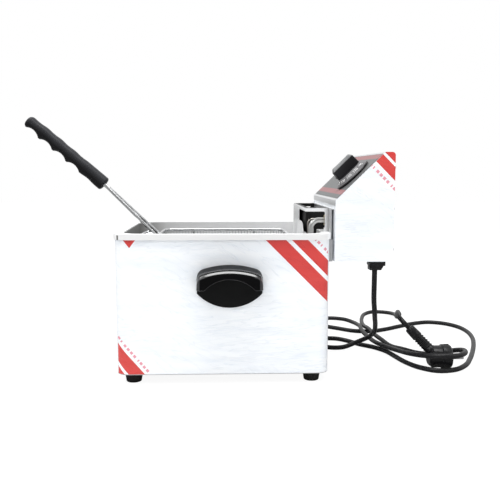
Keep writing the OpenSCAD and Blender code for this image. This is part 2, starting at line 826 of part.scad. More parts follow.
module panel_overlay() {
    at_tank() color("darkgray") difference() {
        on_panel(slope_l/2, 0) translate([0, 0, overlay_t/2])
            cube([slope_l - 8, head_w - 8, overlay_t], center = true);
        panel_holes();
    }
}

// Plate that drops into the rails on the case; it is also the back wall of the element guard
module head_hanger() {
    z0 = head_z + rest_gap;
    at_tank() color("silver") difference() {
        rotate([90, 0, 0]) linear_extrude(plate_w, center = true)
            polygon([[plate_x, z0], [plate_x + plate_t, z0], [plate_x + plate_t, guard_top - plate_t],
                     [head_x, guard_top - plate_t], [head_x, guard_top], [plate_x, guard_top]]);
        at_wall_holes(leg_y) cylinder(d = heater_d + 0.2, h = 6*plate_t, center = true);
        at_wall_holes(bulb_y) cylinder(d = capillary_d + 0.2, h = 6*plate_t, center = true);
    }
}

// Pair of places on the hanger plate, at the height where the element enters the head, axis along X
module at_wall_holes(y) {
    for (s = [-1, 1]) translate([plate_x, s*y, leg_top_z]) rotate([0, 90, 0]) children();
}

// Screws through the rear wall into the body's tabs
module cover_screws() {
    at_tank() color("silver") for (s = [-1, 1], u = screw_up)
        translate([head_back_x, s*(head_w/2 - screw_inset), head_z + u]) rotate([0, 90, 0])
            cylinder(r = screw_head_r, h = screw_head_h);
}

// ---- thermostat and knob ----

module thermostat() {
    at_tank() color("dimgray") on_panel(knob_u, -knob_y) difference() {
        union() {
            translate([-thermo_l/2, -thermo_w/2, -head_t - thermo_deep]) cube([thermo_l, thermo_w, thermo_deep]);
            translate([0, 0, -head_t]) cylinder(r = bush_r, h = head_t + bush_h);
        }
        translate([0, 0, -head_t - shaft_in]) cylinder(d = shaft_d + 2*shaft_play, h = shaft_in + bush_h + 2*head_t);
    }
}

module thermostat_shaft() {
    at_tank() color("silver") on_panel(knob_u, -knob_y) translate([0, 0, -head_t - shaft_in + 0.5])
        cylinder(d = shaft_d, h = head_t + shaft_in - 0.5 + knob_base + shaft_out);
}

module knob() {
    at_tank() color("#181818") on_panel(knob_u, -knob_y) translate([0, 0, knob_base]) difference() {
        union() {
            rotate_extrude() polygon([[0, 0], [knob_d/2, 0], [knob_d/2, skirt_h - skirt_bevel],
                                      [knob_d/2 - skirt_bevel, skirt_h], [0, skirt_h]]);
            linear_extrude(knob_h) difference() {
                round_rect(bar_l, bar_w, 3);
                for (s = [-1, 1]) translate([0, s*(bar_w/2 + bar_cut_r - bar_scoop)]) circle(bar_cut_r);
            }
        }
        translate([0, 0, -cut]) cylinder(d = shaft_d + 0.04, h = shaft_out + cut);
        translate([0, 0, -cut]) cylinder(r = bush_r + 2, h = bush_h - knob_base + 1 + cut);
    }
}

// ---- lamps ----

module at_lamps() {
    for (i = [0, 1]) on_panel(knob_u, lamp_y + i*lamp_gap) children();
}

module lamp_bezels() {
    at_tank() color("#202020") at_lamps() difference() {
        union() {
            translate([0, 0, overlay_t]) cylinder(d = lamp_d + 2*lamp_rim, h = lamp_rim_h);
            translate([0, 0, -lamp_body_l]) cylinder(d = lamp_d, h = lamp_body_l + overlay_t + lamp_rim_h);
        }
        translate([0, 0, -lamp_seat]) cylinder(d = lamp_lens_d, h = lamp_seat + overlay_t + lamp_rim_h + cut);
    }
}

module lamp_lenses() {
    at_tank() color("orange") at_lamps() translate([0, 0, -lamp_seat]) rotate_extrude() intersection() {
        square([lamp_lens_d/2, lamp_seat + overlay_t + lamp_rim_h + lamp_out]);
        translate([0, lamp_seat + overlay_t + lamp_rim_h + lamp_out - lamp_lens_d])
            circle(lamp_lens_d);
    }
}

// ---- high-limit cut-out with its reset button ----

module at_reset() {
    translate([head_back_x, reset_y, reset_z]) rotate([0, 90, 0]) children();
}

module limit_cutout() {
    at_tank() color("tan") at_reset() difference() {
        translate([0, 0, -head_t - limit_deep]) cylinder(r = limit_r, h = limit_deep);
        translate([0, 0, -head_t - reset_in - reset_travel - 1]) cylinder(d = reset_d + 1, h = reset_in + reset_travel + 2);
    }
}

module reset_bush() {
    at_tank() color("silver") at_reset() difference() {
        union() {
            translate([0, 0, -head_t]) cylinder(r = reset_barrel_r, h = head_t + reset_bush_h);
            cylinder(r = reset_bush_r, h = reset_bush_h - 1, $fn = 6);
        }
        translate([0, 0, -2*head_t]) cylinder(d = reset_d + 2*shaft_play, h = 3*head_t + reset_bush_h + cut);
    }
}

module reset_button() {
    at_tank() color("crimson") at_reset() translate([0, 0, -head_t - reset_in])
        cylinder(d = reset_d, h = head_t + reset_in + reset_bush_h + reset_out);
}

module terminal_block() {
    poles = 3;
    pitch = 14;
    at_tank() color("ivory") translate([head_x + 24, -poles*pitch/2, head_z + head_t]) difference() {
        cube([24, poles*pitch, 16]);
        for (i = [0:poles - 1], s = [6, 18]) translate([s, (i + 0.5)*pitch, 4]) cylinder(d = 6, h = 12 + cut);
    }
}

// ---- heating element ----

module heating_element() {
    in_x = head_x + head_t + 14;
    u = heater_pitch/2;
    z = heater_z;
    path = [[in_x, -leg_y, leg_top_z], [leg_x, -leg_y, leg_top_z], [leg_x, -leg_y, z],
            [heater_far_x, -leg_y, z], [heater_far_x, -u, z], [heater_near_x, -u, z],
            [heater_near_x, u, z], [heater_far_x, u, z], [heater_far_x, leg_y, z],
            [leg_x, leg_y, z], [leg_x, leg_y, leg_top_z], [in_x, leg_y, leg_top_z]];
    b = leg_bend_r;
    at_tank() color("dimgray") bent_rod(heater_d, path, [b, b, u, u, u, u, u, u, b, b]);
}

module element_nuts() {
    at_tank() color("goldenrod") for (s = [-1, 1], x = [plate_x - nut_l, head_x + head_t])
        translate([x, s*leg_y, leg_top_z]) rotate([0, 90, 0]) difference() {
            cylinder(r = nut_r, h = nut_l, $fn = 6);
            translate([0, 0, -cut]) cylinder(d = heater_d + 0.1, h = nut_l + 2*cut);
        }
}

module tie_bars() {
    at_tank() color("silver") for (s = [-1, 1])
        translate([basket_x + s*frame_x - tie_bar_w/2, -leg_y - heater_d, heater_z + heater_d/2])
            cube([tie_bar_w, 2*(leg_y + heater_d), tie_bar_t]);
}

// The thermostat's and the high-limit's bulbs, with their capillaries up to the head
module sensor_bulbs() {
    x1 = basket_x + frame_x + 10;
    x2 = leg_x - 2;
    z = heater_z + (heater_d - bulb_d)/2;
    at_tank() color("peru") for (s = [-1, 1]) {
        rod(bulb_d, [x1 - bulb_l, s*bulb_y, z], [x1, s*bulb_y, z]);
        bent_rod(capillary_d, [[x1, s*bulb_y, z], [x2, s*bulb_y, z], [x2, s*bulb_y, leg_top_z],
                               [head_x + head_t + 20, s*bulb_y, leg_top_z]], 8);
    }
}

// ---- element guard ----

module element_guard() {
    side_x1 = tank_in_l/2 - 3.5;
    slot_rows = floor((rim_z - 14 - guard_foot)/guard_slot_pitch_z);
    slot_cols = floor((guard_w/2 - 10)/guard_slot_pitch_y);
    at_tank() color("silver") {
        // front plate, with a window above the rim and slots below it
        translate([guard_x, 0, 0]) rotate([90, 0, 90]) linear_extrude(guard_t) difference() {
            translate([-guard_w/2, guard_foot]) square([guard_w, guard_top - guard_foot]);
            translate([-guard_window_y1, guard_top - guard_window_drop - guard_window_h])
                square([guard_window_y1 - guard_window_y0, guard_window_h]);
            for (i = [-slot_cols:slot_cols], j = [0:slot_rows - 1])
                translate([i*guard_slot_pitch_y, guard_foot + 10 + j*guard_slot_pitch_z])
                    square([guard_slot_l, guard_slot_w], center = true);
        }
        // side plates, which step over the rim
        for (s = [-1, 1]) translate([0, s*(guard_w/2 - guard_t/2), 0]) rotate([90, 0, 0])
            linear_extrude(guard_t, center = true) difference() {
                polygon([[guard_x + guard_t, guard_foot], [side_x1, guard_foot], [side_x1, rim_z + rest_gap],
                         [plate_x, rim_z + rest_gap], [plate_x, guard_top], [guard_x + guard_t, guard_top]]);
                translate([guard_x + window_rail, rim_z + window_rail])
                    square([plate_x - guard_x - 2*window_rail, guard_h - 2*window_rail]);
            }
        // rails round the open top
        translate([0, 0, guard_top - guard_t]) linear_extrude(guard_t) {
            translate([guard_x + guard_t, -guard_w/2 + guard_t]) square([window_rail, guard_w - 2*guard_t]);
            for (s = [-1, 1]) translate([guard_x + guard_t, s*(guard_w/2 - guard_t - window_rail/2) - window_rail/2])
                square([plate_x - guard_x - guard_t, window_rail]);
        }
    }
}

// ---- mains cord ----

module cord_gland() {
    at_tank() color("#151515") translate([gland_x, gland_y, gland_z]) {
        cylinder(d = cord_d + 3.8, h = head_t + 4);
        translate([2, 0, -gland_flange_h/2]) cube([gland_l, gland_w, gland_flange_h], center = true);
        translate([0, 0, -gland_h]) rotate([90, 0, 0]) linear_extrude(gland_w - 4, center = true)
            polygon([[-gland_l/2 + 3, 0], [gland_l/2 - 4, 0], [gland_l/2, gland_h - gland_flange_h],
                     [-gland_l/2 + 3, gland_h - gland_flange_h]]);
    }
}

module cord() { at_tank() color("#101010") path_tube(cord_d, cord_route, 8); }

module plug_body() {
    neck = cord_route[len(cord_route) - 1] - neck_foot;
    at_tank() color("#141414") {
        translate(plug_pos) rotate([0, 90, 0]) difference() {
            rotate_extrude() polygon([[0, -plug_l/2], [plug_d/2 - 7, -plug_l/2], [plug_d/2 - 2, -plug_l/2 + 6],
                                      [plug_d/2 - 2, 2], [plug_d/2, 4], [plug_d/2, plug_l/2 - 2],
                                      [plug_d/2 - 2, plug_l/2], [0, plug_l/2]]);
            for (s = [-1, 1]) translate([s*(plug_d/2 - 1), 0, plug_l/2 - 5])
                cube([4, 8, 12 + cut], center = true);
        }
        translate(neck_foot) rotate([0, acos(neck[2]/norm(neck)), atan2(neck[1], neck[0])])
            cylinder(d1 = cord_d + 7, d2 = cord_d + 3, h = norm(neck));
    }
}

module plug_pins() {
    at_tank() color("silver") translate(plug_pos) {
        for (s = [-1, 1]) {
            translate([plug_l/2, s*pin_gap/2, 0]) rotate([0, 90, 0]) cylinder(d = pin_d, h = pin_l);
            translate([plug_l/2 - 5, 0, s*(plug_d/2 - 2.5)]) cube([10, 5, 1], center = true);
        }
    }
}

// ---- nodes ----

case_shell();
base_plate();
feet();
foot_screws();
side_handle_near();
side_handle_far();
head_rails();
oil_tank();
basket_mesh();
basket_rim();
basket_frame();
basket_hook();
handle_stem();
handle_grip();
head_body();
head_cover();
head_hanger();
panel_overlay();
cover_screws();
thermostat();
thermostat_shaft();
knob();
lamp_bezels();
lamp_lenses();
limit_cutout();
reset_bush();
reset_button();
terminal_block();
heating_element();
element_nuts();
tie_bars();
sensor_bulbs();
element_guard();
cord_gland();
cord();
plug_body();
plug_pins();
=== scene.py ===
"""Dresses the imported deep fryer: woven basket wire, coated grips, protective film, printed panel and cord."""

import json
import math

import bmesh
import bpy
from mathutils import Matrix, Vector


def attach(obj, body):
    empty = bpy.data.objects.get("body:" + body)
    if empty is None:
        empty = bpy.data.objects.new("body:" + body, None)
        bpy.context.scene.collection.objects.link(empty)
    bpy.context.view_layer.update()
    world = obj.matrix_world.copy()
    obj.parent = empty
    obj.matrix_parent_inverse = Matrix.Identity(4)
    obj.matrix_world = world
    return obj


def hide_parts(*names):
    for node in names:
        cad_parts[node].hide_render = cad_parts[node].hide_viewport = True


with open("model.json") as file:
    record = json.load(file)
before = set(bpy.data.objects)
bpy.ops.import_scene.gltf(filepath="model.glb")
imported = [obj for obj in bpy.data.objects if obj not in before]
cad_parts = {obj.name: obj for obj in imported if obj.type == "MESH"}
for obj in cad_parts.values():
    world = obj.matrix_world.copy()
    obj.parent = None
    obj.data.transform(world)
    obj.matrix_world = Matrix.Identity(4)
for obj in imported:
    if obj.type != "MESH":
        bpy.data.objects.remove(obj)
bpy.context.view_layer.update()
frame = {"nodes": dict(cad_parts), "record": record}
nodes = frame["nodes"]
scene = bpy.context.scene

# Sizes are in metres, and in the frame's own axes
TANK_X = 0.0268786  # middle of the tank along X


# ---- camera ----

CAMERA_PLACE = (TANK_X + 0.000418, -1.0966, 0.3175)
CAMERA_YAW = 0.0410
CAMERA_PITCH = 0.11624
CAMERA_ROLL = -0.0023
CAMERA_LENS = 47.52  # millimetres


def make_camera():
    """A camera in front of the fryer and above its rim, turned a little down and to the right."""
    data = bpy.data.cameras.new("camera")
    data.sensor_width = 36.0
    data.lens = CAMERA_LENS
    data.clip_end = 30.0
    level = math.cos(CAMERA_PITCH)
    forward = Vector((math.sin(CAMERA_YAW) * level, math.cos(CAMERA_YAW) * level, -math.sin(CAMERA_PITCH)))
    right = forward.cross(Vector((0, 0, 1))).normalized()
    up = right.cross(forward).normalized()
    spin = Matrix.Rotation(CAMERA_ROLL, 3, forward)
    turn = Matrix((spin @ right, spin @ up, -forward)).transposed()
    camera = linked("camera", data)
    camera.matrix_world = Matrix.Translation(CAMERA_PLACE) @ turn.to_4x4()
    scene.camera = camera


# ---- meshes ----

DOUBLED = 0.00002  # points of a solid that are nearer than this are one point


def linked(name, data):
    """A new object in the scene."""
    piece = bpy.data.objects.new(name, data)
    scene.collection.objects.link(piece)
    return piece


def new_piece(name, mesh, body, material, stands_for=()):
    """Links a mesh as a piece that rides on a body, and hides the solids that it stands for."""
    piece = linked(name, mesh)
    if material:
        mesh.materials.clear()
        mesh.materials.append(material)
    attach(piece, body)
    if stands_for:
        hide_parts(*stands_for)
    return piece


def baked(piece):
    """The plain mesh that an object's modifiers make of it; the object itself is removed."""
    depsgraph = bpy.context.evaluated_depsgraph_get()
    mesh = bpy.data.meshes.new_from_object(piece.evaluated_get(depsgraph), depsgraph=depsgraph)
    bpy.data.objects.remove(piece)
    return mesh


def smooth(mesh, angle):
    """Shades smooth, with creases kept where faces meet at more than the angle in degrees."""
    for face in mesh.polygons:
        face.use_smooth = True
    mesh.set_sharp_from_angle(angle=math.radians(angle))


def close_edit(mesh_edit, name, angle=None):
    """Ends an edit in a mesh of its own, shaded smooth if an angle is given."""
    mesh = bpy.data.meshes.new(name)
    mesh_edit.to_mesh(mesh)
    mesh_edit.free()
    if angle:
        smooth(mesh, angle)
    return mesh


def edit_of(node):
    """A copy of a solid, ready to edit, with its doubled points joined."""
    mesh_edit = bmesh.new()
    mesh_edit.from_mesh(nodes[node].data)
    bmesh.ops.remove_doubles(mesh_edit, verts=mesh_edit.verts, dist=DOUBLED)
    return mesh_edit


def cube_edit(moved):
    """A cube, ready to edit; the function moves each corner of the unit cube to its place."""
    mesh_edit = bmesh.new()
    bmesh.ops.create_cube(mesh_edit, size=1.0)
    for vert in mesh_edit.verts:
        vert.co = moved(vert.co)
    return mesh_edit


def join_rings(mesh_edit, rings):
    """Joins each ring of points to the next and closes both ends; returns the faces in between."""
    sides = len(rings[0])
    faces = [
        mesh_edit.faces.new((low[k], low[(k + 1) % sides], high[(k + 1) % sides], high[k]))
        for low, high in zip(rings, rings[1:])
        for k in range(sides)
    ]
    mesh_edit.faces.new(list(reversed(rings[0])))
    mesh_edit.faces.new(rings[-1])
    return faces


def lofted(name, angle, *solids, merge=0.0):
    """A mesh of closed solids, each given as rings of points that are joined one to the next."""
    mesh_edit = bmesh.new()
    for rings in solids:
        join_rings(mesh_edit, [[mesh_edit.verts.new(point) for point in ring] for ring in rings])
    if merge:
        bmesh.ops.remove_doubles(mesh_edit, verts=mesh_edit.verts, dist=merge)
    bmesh.ops.recalc_face_normals(mesh_edit, faces=mesh_edit.faces)
    return close_edit(mesh_edit, name, angle)


def circle(centre, side, other, radius, count):
    """Points round a centre, from one direction towards another."""
    angles = (2 * math.pi * k / count for k in range(count))
    return [centre + (side * math.cos(a) + other * math.sin(a)) * radius for a in angles]


def turned(start, axis, side, profile, count):
    """Rings round an axis: each pair in the profile is a distance along it and a radius."""
    return [circle(start + axis * along, side, axis.cross(side), radius, count) for along, radius in profile]


def curve_points(points, step):
    """Points along a centripetal Catmull-Rom curve through the given points."""
    ends = [points[0] * 2 - points[1]] + points + [points[-1] * 2 - points[-2]]
    out = []
    for a, b, c, d in zip(ends, ends[1:], ends[2:], ends[3:]):
        t = [0.0]
        for p, q in ((a, b), (b, c), (c, d)):
            t.append(t[-1] + max((q - p).length, 1e-6) ** 0.5)
        count = max(2, math.ceil((c - b).length / step))
        for k in range(count):
            u = t[1] + (t[2] - t[1]) * k / count
            low = [
                p * ((t[i + 1] - u) / (t[i + 1] - t[i])) + q * ((u - t[i]) / (t[i + 1] - t[i]))
                for i, (p, q) in enumerate(((a, b), (b, c), (c, d)))
            ]
            mid = [
                low[i] * ((t[i + 2] - u) / (t[i + 2] - t[i])) + low[i + 1] * ((u - t[i]) / (t[i + 2] - t[i]))
                for i in (0, 1)
            ]
            out.append(mid[0] * ((t[2] - u) / (t[2] - t[1])) + mid[1] * ((u - t[1]) / (t[2] - t[1])))
    out.append(points[-1].copy())
    return out


def tube_mesh(name, points, radius, sides):
    """Closed tube along points; its UV runs round it once and along it in metres."""
    mesh_edit = bmesh.new()
    uv = mesh_edit.loops.layers.uv.new("length")
    side = (points[1] - points[0]).normalized().orthogonal().normalized()
    rings, along = [], [0.0]
    for i, point in enumerate(points):
        direction = (points[min(i + 1, len(points) - 1)] - points[max(i - 1, 0)]).normalized()
        side = (side - direction * side.dot(direction)).normalized()
        if i:
            along.append(along[-1] + (point - points[i - 1]).length)
        ring = circle(point, side, direction.cross(side), radius, sides)
        rings.append([mesh_edit.verts.new(place) for place in ring])
    for number, face in enumerate(join_rings(mesh_edit, rings)):
        i, k = divmod(number, sides)
        for loop, (u, v) in zip(face.loops, ((k, i), (k + 1, i), (k + 1, i + 1), (k, i + 1))):
            loop[uv].uv = (u / sides, along[v])
    return close_edit(mesh_edit, name, 50)


# ---- nodes ----


def maths(operation):
    """A method of Socket that adds one Math node."""
    return lambda self, other=None: self.math(operation, other)


class Socket:
    """A value, colour or vector in a tree of nodes; an expression on values adds Math nodes."""

    def __init__(self, tree, out):
        self.tree = tree
        self.out = out

    def math(self, operation, other=None):
        node = self.tree.nodes.new("ShaderNodeMath")
        node.operation = operation
        for socket, value in zip(node.inputs, (self, other)):
            if value is not None:
                feed(self.tree, socket, value)
        return Socket(self.tree, node.outputs[0])

    __add__ = maths("ADD")
    __sub__ = maths("SUBTRACT")
    __mul__ = maths("MULTIPLY")
    __truediv__ = maths("DIVIDE")
    __mod__ = maths("FLOORED_MODULO")
    __abs__ = maths("ABSOLUTE")
    above = maths("GREATER_THAN")
    below = maths("LESS_THAN")
    least = maths("MINIMUM")
    most = maths("MAXIMUM")

    def __rsub__(self, other):
        return (self * -1) + other

    def between(self, low, high):
        return self.above(low) * self.below(high)

    def clamp(self):
        return self.most(0.0).least(1.0)

    def ramp_from(self, low, high):
        """0 at low and 1 at high, straight between and flat beyond."""
        return ((self - low) / (high - low)).clamp()

    def swing(self, width):
        """A noise's value as a swing about 0."""
        return (self - 0.5) * width


def feed(tree, socket, value):
    """Links a socket to a value in the tree, or sets it; a colour may leave its alpha out."""
    if isinstance(value, Socket):
        tree.links.new(value.out, socket)
    elif socket.type == "RGBA" and len(value) == 3:
        socket.default_value = (*value, 1.0)
    else:
        socket.default_value = value


class Nodes:
    """A tree of nodes, with short ways to add to it."""

    def __init__(self, tree):
        self.tree = tree

    def node(self, kind, settings=None, output=0, **inputs):
        """Adds a node, with inputs by name (underscores for spaces) or by number after an i."""
        node = self.tree.nodes.new(kind)
        for name, value in (settings or {}).items():
            setattr(node, name, value)
        for name, value in inputs.items():
            key = int(name[1:]) if name[1:].isdigit() else name.replace("_", " ")
            feed(self.tree, node.inputs[key], value)
        return Socket(self.tree, node.outputs[output])

    def vector(self, operation, *values):
        output = 1 if operation in ("LENGTH", "DOT_PRODUCT") else 0
        inputs = {f"i{i}": value for i, value in enumerate(values)}
        return self.node("ShaderNodeVectorMath", {"operation": operation}, output, **inputs)

    def axes(self, vector):
        split = self.node("ShaderNodeSeparateXYZ", i0=vector)
        return [Socket(self.tree, out) for out in split.out.node.outputs]

    def ray(self, kind):
        return self.node("ShaderNodeLightPath", output=f"Is {kind} Ray")


class Finish(Nodes):
    """One material, with the nodes that its expressions need."""

    def __init__(self, name, **constants):
        self.material = bpy.data.materials.new(name)
        self.material.use_nodes = True
        super().__init__(self.material.node_tree)
        self.shader = self.tree.nodes["Principled BSDF"]
        self.set(**constants)

    def set(self, **values):
        """Sets or links the shader's sockets, named with underscores for spaces."""
        for name, value in values.items():
            feed(self.tree, self.shader.inputs[name.replace("_", " ")], value)

    def place(self):
        return self.node("ShaderNodeTexCoord", output="Object")

    def xyz(self):
        return self.axes(self.place())

    def noise(self, scale, detail, at=None, roughness=0.55):
        """Noise over the object, or over other coordinates."""
        return self.node(
            "ShaderNodeTexNoise", Vector=at or self.place(), Scale=scale, Detail=detail, Roughness=roughness
        )

    def streaks(self, scale, detail=2.0, turn=(0, 0, 0), centre=(0, 0, 0), roughness=0.55):
        """Noise with a scale for each axis, turned about a centre."""
        shifted = self.vector("SUBTRACT", self.place(), centre)
        back = self.node("ShaderNodeMapping", {"vector_type": "TEXTURE"}, Vector=shifted, Rotation=turn)
        return self.noise(1.0, detail, self.vector("MULTIPLY", back, scale), roughness)

    def mix(self, factor, first, second):
        return self.node("ShaderNodeMix", {"data_type": "RGBA"}, output=2, i0=factor, i6=first, i7=second)

    def done(self, colour, rough, height, strength, distance=0.0003, **others):
        """Sets the colour, the roughness and a bump, and returns the material."""
        bump = self.node("ShaderNodeBump", Strength=strength, Distance=distance, Height=height)
        self.set(Base_Color=colour, Roughness=rough, Normal=bump, **others)
        return self.material


class Maker(Nodes):
    """Geometry nodes with inputs of their own, which make a new mesh from a mesh or a line."""

    def __init__(self, name, inputs):
        super().__init__(bpy.data.node_groups.new(name, "GeometryNodeTree"))
        for side in ("INPUT", "OUTPUT"):
            self.tree.interface.new_socket(name="Geometry", in_out=side, socket_type="NodeSocketGeometry")
        self.names = {}
        for name, kind, value in inputs:
            socket = self.tree.interface.new_socket(name=name, in_out="INPUT", socket_type=kind)
            socket.default_value = value
            self.names[name] = socket.identifier
        self.source = self.tree.nodes.new("NodeGroupInput")

    def given(self, name):
        return Socket(self.tree, self.source.outputs[name])

    def in_a_row(self, piece):
        """Copies a piece as often as the input Copies says, each one Step further on."""
        places = self.node(
            "GeometryNodeMeshLine", {"mode": "OFFSET"}, Count=self.given("Copies"), Offset=self.given("Step")
        )
        copies = self.node("GeometryNodeInstanceOnPoints", Points=places, Instance=piece)
        return self.node("GeometryNodeRealizeInstances", Geometry=copies)

    def end(self, piece, material):
        made = self.node("GeometryNodeSetMaterial", Geometry=piece, Material=material)
        self.tree.links.new(made.out, self.tree.nodes.new("NodeGroupOutput").inputs[0])

    def make(self, name, mesh, **values):
        """Runs the nodes on a mesh, with values for the inputs, and returns the plain mesh."""
        piece = linked(name, mesh)
        modifier = piece.modifiers.new(name, "NODES")
        modifier.node_group = self.tree
        for key, value in values.items():
            modifier[self.names[key.replace("_", " ")]] = value
        return baked(piece)


ROW_INPUTS = (("Copies", "NodeSocketInt", 1), ("Step", "NodeSocketVector", (0, 0, 0)))


# ---- finishes ----


def brushed(finish, scratches, swings, dark, light):
    """Colour, swing of the roughness and scratches of satin sheet."""
    fine = finish.streaks(scratches)
    broad = finish.noise(14.0, 3.0)
    shade = fine.swing(swings[0]) + broad.swing(swings[1]) + 0.5
    return finish.mix(shade.clamp(), dark, light), fine.swing(0.18) + broad.swing(0.10), fine


def bare_steel():
    """Satin sheet steel with fine scratches along Y."""
    finish = Finish("bare_steel", Metallic=1.0)
    steel, rough, fine = brushed(
        finish, (900.0, 15.0, 900.0), (0.10, 0.12), (0.688, 0.6966, 0.7052), (0.896, 0.9072, 0.9184)
    )
    return finish.done(steel, rough + 0.33, fine, 0.06, 0.0004)


TANK_INSIDE = (-0.1560, 0.1285, 0.2262)  # left limit from the tank's middle, half width and top
TANK_PAINTED_SHADE = (-0.152, -0.085)  # from the tank's middle: where the painted shade is darkest, and where it ends
# From the tank's middle: where a lighter painted shade is strongest, and where it ends; it reaches further
# along than the darker one.
TANK_PAINTED_DIMMING = (-0.13, 0.11)


def tank_finish():
    """Satin tank sheet, with painted shade that darkens its inside towards the left end."""
    finish = Finish("tank_steel", Metallic=0.30)
    steel, rough, fine = brushed(
        finish, (15.0, 900.0, 900.0), (0.14, 0.16), (0.84, 0.845, 0.85), (0.99, 0.99, 0.99)
    )
    x, y, z = finish.xyz()
    along = x - TANK_X
    left_limit, half_width, top = TANK_INSIDE
    inside = z.below(top) * abs(y).below(half_width) * along.above(left_limit)
    # Painted shade: the inside is darkened towards its left end, steeply near the end (painted_shade) and
    # lightly further along (dull).
    painted_shade = (1 - along.ramp_from(*TANK_PAINTED_SHADE)) * 0.95
    dull = (1 - along.ramp_from(*TANK_PAINTED_DIMMING)) * 0.30
    sheet = finish.mix(inside * painted_shade.most(dull), steel, (0.13, 0.13, 0.125))
    return finish.done(sheet, rough + 0.40, fine, 0.06, 0.0004)


def moulded(name, colour, rough, grain=1200.0, strength=0.08, gloss=0.25):
    """Moulded plastic or rubber with a fine grain and a few paler rubbed places."""
    finish = Finish(name, Specular_IOR_Level=gloss)
    fine = finish.noise(grain, 2.0)
    broad = finish.noise(35.0, 4.0)
    pale = tuple(min(1.0, c * 1.5 + 0.003) for c in colour)
    rubbed = finish.mix(broad.ramp_from(0.55, 0.75) * 0.6, colour, pale)
    return finish.done(rubbed, broad.swing(0.16) + rough, fine, strength)


def polished_bakelite():
    """Black bakelite: matt behind the hood, polished along the hood's front edge, with a painted highlight
    along the arch's edge.
    """
    finish = Finish("bakelite", Coat_Roughness=0.13, Coat_IOR=1.65, Specular_IOR_Level=0.10)
    x, y, z = finish.xyz()
    out = abs(y) - GRAB_WALL_Y
    front = out.ramp_from(GRAB_DEEP - 0.0010, GRAB_DEEP - 0.0003)
    hood = out.ramp_from(GRAB_DEEP - 0.0100, GRAB_DEEP - 0.0065) * (1 - front)
    # Painted highlight: a paler line along the rounded edge of the arch.
    painted_arch_highlight = out.between(GRAB_DEEP - 0.0014, GRAB_DEEP - 0.0001) * z.below(GRAB_Z + ARCH_TOP + 0.003)
    matt = 1 - out.ramp_from(GRAB_PLATE, GRAB_PLATE + 0.002)
    fine = finish.noise(800.0, 2.0)
    broad = finish.noise(35.0, 4.0)
    black = finish.mix(matt * (broad + 0.3), (0.0016, 0.0016, 0.0020), (0.0080, 0.0085, 0.0088))
    arch_highlighted = finish.mix(painted_arch_highlight, black, (0.034, 0.034, 0.036))
    return finish.done(arch_highlighted, broad.swing(0.12) + 0.45 - hood * 0.2, fine, 0.03, Coat_Weight=hood)


def grip_plastic():
    """Black grip plastic, with painted light that makes its upper side paler."""
    finish = Finish("grip_plastic", Specular_IOR_Level=0.22)
    x, y, z = finish.xyz()
    up = (x - GRIP_FOOT.x) * math.sin(GRIP_ANGLE) + (z - GRIP_FOOT.z) * math.cos(GRIP_ANGLE)
    fine = finish.noise(1200.0, 2.0)
    broad = finish.noise(35.0, 4.0)
    # Painted light: the upper side of the grip is made paler, as if lit from above.
    painted_top_light = (up + broad.swing(0.006)).ramp_from(-0.002, 0.008)
    black = finish.mix(painted_top_light, (0.004, 0.004, 0.005), (0.026, 0.027, 0.031))
    return finish.done(black, broad.swing(0.16) + 0.5, fine, 0.08)


def knob_plastic():
    """Black knob, with a painted grey reflection on the sloping ring of its skirt and a painted highlight on
    the top of its bar.
    """
    finish = Finish("knob_plastic", Specular_IOR_Level=0.3)
    from_foot = finish.vector("SUBTRACT", finish.place(), KNOB_CENTRE)
    out = finish.vector("DOT_PRODUCT", from_foot, PANEL_OUT)
    reach = finish.vector("LENGTH", from_foot)
    from_axis = (reach * reach - out * out).most(0.0).math("SQRT")
    # Painted reflection: the sloping ring of the skirt is made grey.
    ring = from_axis.between(CONE_R + 0.0005, SKIRT_R - 0.0008) * out.between(SKIRT_EDGE - 0.0004, CONE_H)
    # Painted highlight: the top of the bar is made paler.
    top = out.ramp_from(KNOB_H - 0.0050, KNOB_H - 0.0042)
    fine = finish.noise(900.0, 2.0)
    broad = finish.noise(45.0, 3.0)
    black = finish.mix(broad, (0.006, 0.006, 0.007), (0.010, 0.010, 0.012))
    with_ring_reflection = finish.mix(ring, black, (0.125, 0.125, 0.13))
    bar_highlighted = finish.mix(top * 0.8, with_ring_reflection, (0.24, 0.245, 0.25))
    return finish.done(bar_highlighted, broad.swing(0.16) + 0.34, fine, 0.05)


def wire_steel(name, colour, rough):
    """Bright drawn wire with light drawing marks."""
    finish = Finish(name, Metallic=1.0)
    marks = finish.noise(220.0, 3.0)
    broad = finish.noise(30.0, 2.0)
    steel = finish.mix(broad.ramp_from(0.35, 0.7), colour, tuple(c * 0.8 for c in colour))
    return finish.done(steel, marks.swing(0.2) + rough, marks, 0.05)


def heated_steel():
    """Element tube: satin grey steel, a little darker where it has been hot."""
    finish = Finish("heater_steel", Metallic=1.0)
    spots = finish.noise(26.0, 4.0)
    fine = finish.noise(500.0, 2.0)
    grey = finish.mix(spots.ramp_from(0.3, 0.52), (0.50, 0.50, 0.49), (0.66, 0.66, 0.65))
    tint = finish.mix(spots.ramp_from(0.52, 0.7), grey, (0.56, 0.55, 0.53))
    return finish.done(tint, spots.swing(0.25) + 0.34, fine, 0.06)


def cord_rubber():
    finish = Finish("cord_black", Specular_IOR_Level=0.25)
    fine = finish.noise(900.0, 2.0)
    broad = finish.noise(22.0, 3.0)
    black = finish.mix(broad.ramp_from(0.4, 0.75), (0.008, 0.008, 0.009), (0.016, 0.016, 0.017))
    return finish.done(black, broad.swing(0.15) + 0.38, fine, 0.06, 0.0002)


LENS_RIB = 0.0011


